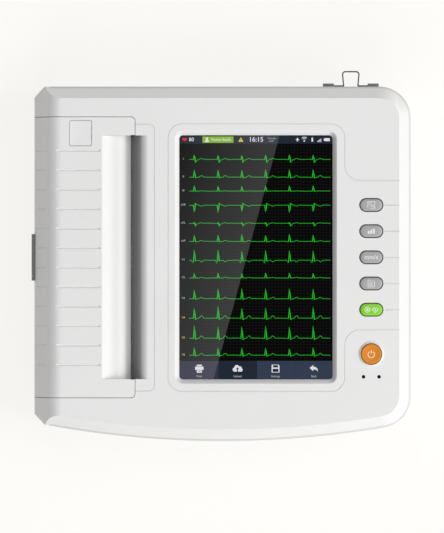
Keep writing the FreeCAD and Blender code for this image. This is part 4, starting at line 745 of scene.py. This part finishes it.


# Rubbed key plastic: even colour with a mottled sheen and a fine grain, and painted light where its look
# gives a glow.
def keyPlastic(name):
    look = keyLooks[name]
    material, tree, shader = newMaterial(name)
    place = objectPlace(tree)
    cloud = spread(tree, noise(tree, place, 160.0, 3.0), 0.0, 1.0)
    colour = mixColours(tree, cloud, shade(look["colour"], 0.97), shade(look["colour"], 1.02))
    sheen = noise(tree, place, 240.0, 4.0)
    paint(tree, shader, colour, spread(tree, sheen, look["rough"] - 0.06, look["rough"] + 0.08))
    bumped(tree, shader, noise(tree, place, 2400.0, 2.0), 0.05, 0.04 * mm)
    shader.inputs["Specular IOR Level"].default_value = 0.3
    shader.inputs["Emission Color"].default_value = (*look["colour"], 1)
    shader.inputs["Emission Strength"].default_value = look["glow"]
    return material


# Each level says how far it is drawn in from the key's outline, and its depth under the top, in millimetres.
keyForms = {
    "pill": {"halfLength": 10.2, "halfWidth": 5.6, "dish": 0.0,
             "levels": ((0.0, 5.6), (0.0, 1.75), (0.12, 1.3), (0.4, 0.9), (0.85, 0.58), (1.5, 0.34),
                        (2.3, 0.19), (3.2, 0.09), (4.3, 0.03), (5.3, 0.0))},
    "round": {"halfLength": 9.1, "halfWidth": 9.1, "dish": 0.6,
              "levels": ((0.0, 6.0), (0.0, 0.75), (0.1, 0.42), (0.35, 0.16), (0.8, 0.0), (1.4, 0.05),
                         (2.4, 0.24), (3.4, 0.46), (4.6, 0.58), (5.4, 0.60), (8.0, 0.60))},
    "steps": 20, "skirtRings": 3, "markLift": 0.01, "markFilm": 0.03,
}


# Rings of points up a key: each has a half circle at either end of its straight sides.
def keyRings(form, look, centre, top):
    straight = look["halfLength"] - look["halfWidth"]
    rings = []
    for inset, depth in look["levels"]:
        radius = look["halfWidth"] - inset
        ring = []
        for side, start in ((1, -90), (-1, 90)):
            for i in range(keyForms["steps"] + 1):
                angle = math.radians(start + 180 * i / keyForms["steps"])
                x = centre.x + (side * straight + radius * math.cos(angle)) * mm
                ring.append(form.verts.new((x, centre.y + radius * math.sin(angle) * mm, top - depth * mm)))
        rings.append(ring)
    return rings


# A key cap with straight sides, a soft shoulder and a slightly domed or dished face.
def domedKey(node, look, material, skirt):
    centre, top = middleAndTop(node)
    form = bmesh.new()
    rings = keyRings(form, look, centre, top)
    count = len(rings[0])
    for level, (lower, upper) in enumerate(zip(rings, rings[1:])):
        for i in range(count):
            face = form.faces.new((lower[i], lower[(i + 1) % count], upper[(i + 1) % count], upper[i]))
            # The lowest rings take the skirt's finish, which on the grey and green keys is painted shade.
            face.material_index = int(level < keyForms["skirtRings"])
    form.faces.new(rings[-1])
    form.faces.new(list(reversed(rings[0])))
    bmesh.ops.remove_doubles(form, verts=form.verts, dist=0.001 * mm)
    for face in form.faces:
        face.smooth = True
    mesh = bpy.data.meshes.new(node + "_dome")
    form.to_mesh(mesh)
    form.free()
    mesh.materials.append(material)
    mesh.materials.append(skirt)
    piece = bpy.data.objects.new(node + "_dome", mesh)
    scene.collection.objects.link(piece)
    return piece, centre, top


def leadModeMark(marks):
    addLine(marks, [(-3.1, -3.0), (3.1, -3.0), (3.1, 3.0), (-3.1, 3.0), (-3.1, -3.0), (-2.0, -3.0)], 0.55)
    addLine(marks, [(0, -3.0), (0, 3.0)], 0.4)
    addLine(marks, [(-3.1, 0), (3.1, 0)], 0.4)
    addLine(marks, [(-2.4, 0.9), (-1.6, 2.3), (-0.9, 0.9)], 0.5)
    addLine(marks, [(0.9, -1.9), (1.7, -0.7), (2.4, -1.9)], 0.5)


def gainMark(marks):
    for i in range(3):
        height = 2.6 + i * 0.9
        addBar(marks, -2.25 + i * 2.25, height / 2 - 2.3, 1.75, height)


def speedMark(marks):
    addWords(marks, "mm/s", 0, 0, 4.0)


def reportMark(marks):
    sheet = [(1.1, 3.0), (-2.9, 3.0), (-2.9, -3.0), (2.9, -3.0), (2.9, 1.2), (1.1, 3.0), (0.2, 3.0)]
    addLine(marks, sheet, 0.55)
    for i in range(4):
        addBar(marks, -0.3, 1.5 - i * 1.1, 3.9 if i else 2.2, 0.42)


def startMark(marks):
    addLine(marks, arcPoints(-3.5, 0, 2.2), 0.6)
    addShape(marks, [(-4.7, -1.0), (-2.3, -1.0), (-2.7, 0.6), (-3.5, 1.3), (-4.3, 0.6)])
    addLine(marks, [(3.5, 2.7), (6.2, 0), (3.5, -2.7), (0.8, 0), (3.5, 2.7), (4.2, 2.0)], 0.6)
    addLine(marks, [(3.5, 1.3), (3.5, -1.3)], 0.8)


def powerMark(marks):
    addLine(marks, arcPoints(0, -0.4, 2.9, 122, 418, 30), 0.62)
    addLine(marks, [(0, 0.4), (0, 3.3)], 0.75)


# node, body it rides on, form, finish of the face and of the skirt, and its mark
keyPlan = (
    ("key_lead_mode", "key_lead_mode_cap", "pill", "keyGrey", "keySkirtPaintedShade", leadModeMark),
    ("key_gain", "key_gain_cap", "pill", "keyGrey", "keySkirtPaintedShade", gainMark),
    ("key_speed", "key_speed_cap", "pill", "keyGrey", "keySkirtPaintedShade", speedMark),
    ("key_report", "key_report_cap", "pill", "keyGrey", "keySkirtPaintedShade", reportMark),
    ("key_start", "key_start_cap", "pill", "keyGreen", "keySkirtPaintedShade", startMark),
    ("power_button", "power", "round", "keyOrange", "keyOrange", powerMark),
)


def buildKeys():
    finishes = {name: keyPlastic(name) for name in keyLooks}
    for node, body, form, face, skirt, draw in keyPlan:
        look = keyForms[form]
        piece, centre, top = domedKey(node, look, finishes[face], finishes[skirt])
        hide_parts(node)
        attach(piece, body)
        marks = newFigure()
        draw(marks)
        height = top + (keyForms["markLift"] - look["dish"]) * mm
        placeFigure(node + "_mark", marks, centre, height, finishes["keyMarks"], keyForms["markFilm"], body)


buildKeys()
print("stage: keys")


# camera, light and floor

# Distances are in millimetres. The camera aims near the middle of the top case, and the field is measured at
# its face.
viewSetup = {"fieldHeight": 474.4, "lens": 600.0, "sensor": 36.0, "aimX": -0.2, "aimY": -2.4,
             "faceOverSplit": 40.4}


def setUpCamera():
    look = viewSetup
    middle = middleAndTop("top_case")[0]
    faceZ = middleAndTop("bottom_case")[1] + look["faceOverSplit"] * mm
    data = bpy.data.cameras.new("overheadCamera")
    data.lens = look["lens"]
    data.sensor_width = look["sensor"]
    data.clip_end = 60.0
    away = look["fieldHeight"] * mm * look["lens"] / look["sensor"]
    camera = bpy.data.objects.new("overheadCamera", data)
    camera.location = (middle.x + look["aimX"] * mm, middle.y + look["aimY"] * mm, faceZ + away)
    scene.collection.objects.link(camera)
    scene.camera = camera


# Places and sizes are in metres, power is in watts, and floorZ is in millimetres.
softBoxes = {
    "rightPanel": {"from": (4.9, -0.5, 3.45), "size": 5.0, "power": 304.0, "colour": (1.0, 0.995, 0.985)},
    "frontPanel": {"from": (0.6, -4.9, 3.45), "size": 5.0, "power": 184.0, "colour": (1.0, 1.0, 1.0)},
    "leftPanel": {"from": (-4.9, 0.3, 3.45), "size": 5.0, "power": 4.0, "colour": (0.97, 0.985, 1.0)},
    "rearPanel": {"from": (0.0, 3.0, 5.2), "size": 5.0, "power": 100.0, "colour": (0.97, 0.985, 1.0)},
}
surroundings = {"ambient": 0.14, "floorColour": (0.20, 0.1965, 0.190), "floorGlow": 3.92, "floorSize": 14.0,
                "floorZ": -0.3}


def setUpLight():
    for name, box in softBoxes.items():
        data = bpy.data.lights.new(name, "AREA")
        data.size = box["size"]
        data.energy = box["power"]
        data.color = box["colour"]
        lamp = bpy.data.objects.new(name, data)
        lamp.location = box["from"]
        lamp.rotation_euler = (-Vector(box["from"])).to_track_quat("-Z", "Y").to_euler()
        scene.collection.objects.link(lamp)
    world = bpy.data.worlds.new("studio")
    world.use_nodes = True
    background = world.node_tree.nodes["Background"]
    background.inputs["Color"].default_value = (1, 1, 1, 1)
    background.inputs["Strength"].default_value = surroundings["ambient"]
    scene.world = world
    scene.view_settings.view_transform = "Standard"


def layFloor():
    half, height = surroundings["floorSize"] / 2, surroundings["floorZ"] * mm
    corners = [(x * half, y * half, height) for x, y in ((-1, -1), (1, -1), (1, 1), (-1, 1))]
    mesh = bpy.data.meshes.new("floor")
    mesh.from_pydata(corners, [], [(0, 1, 2, 3)])
    floor = bpy.data.objects.new("floor", mesh)
    scene.collection.objects.link(floor)
    material, tree, shader = newMaterial("floorPaper")
    for socket in ("Base Color", "Emission Color"):
        shader.inputs[socket].default_value = (*surroundings["floorColour"], 1)
    shader.inputs["Roughness"].default_value = 0.9
    shader.inputs["Emission Strength"].default_value = surroundings["floorGlow"]
    mesh.materials.append(material)


# A pale card over the machine, mirrored in the left of the screen with one slanting edge. Places are on the
# glass, in millimetres from its middle.
sheenCard = {
    "height": 800.0, "left": -76.0, "end": 112.0, "edgeTop": (19.0, 100.8), "edgeFoot": (-33.4, -92.4),
    "glow": 1.2, "towardsEdge": 3.1, "towardsFoot": 2.4, "glowFrom": (-68.0, 94.0), "glowTo": (11.0, -79.5),
}


def hangSheenCard():
    look = sheenCard
    eye, height = scene.camera.location, look["height"] * mm
    reach = height / (eye.z - glassTop)
    (topX, topY), (footX, footY) = look["edgeTop"], look["edgeFoot"]
    lean = (topX - footX) / (topY - footY)

    def overGlass(x, y):
        x, y = displayMiddle.x + x * mm, displayMiddle.y + y * mm
        return x + (x - eye.x) * reach, y + (y - eye.y) * reach, glassTop + height

    left, end = look["left"], look["end"]
    slantFoot, slantTop = (topX + (y - topY) * lean for y in (-end, end))
    outline = ((left, end), (left, -end), (slantFoot, -end), (slantTop, end))
    mesh = bpy.data.meshes.new("sheenCard")
    mesh.from_pydata([overGlass(*place) for place in outline], [], [(0, 1, 2, 3)])
    card = bpy.data.objects.new("sheenCard", mesh)
    scene.collection.objects.link(card)
    material, tree, shader = newMaterial("sheenCard")
    x, y, _ = axes(tree, objectPlace(tree))
    (fromX, fromY, _), (toX, toY, _) = overGlass(*look["glowFrom"]), overGlass(*look["glowTo"])
    across = spread(tree, x, look["glow"], look["glow"] + look["towardsEdge"], fromX, toX)
    along = spread(tree, y, 0.0, look["towardsFoot"], fromY, toY)
    shader.inputs["Base Color"].default_value = (0, 0, 0, 1)
    shader.inputs["Emission Color"].default_value = (0.97, 0.985, 1.0, 1)
    tree.links.new(mathStep(tree, "ADD", across, along), shader.inputs["Emission Strength"])
    mesh.materials.append(material)
    for ray in ("camera", "diffuse", "transmission", "shadow", "volume_scatter"):
        setattr(card, "visible_" + ray, False)


setUpCamera()
setUpLight()
layFloor()
hangSheenCard()
print("stage: camera, light and floor")
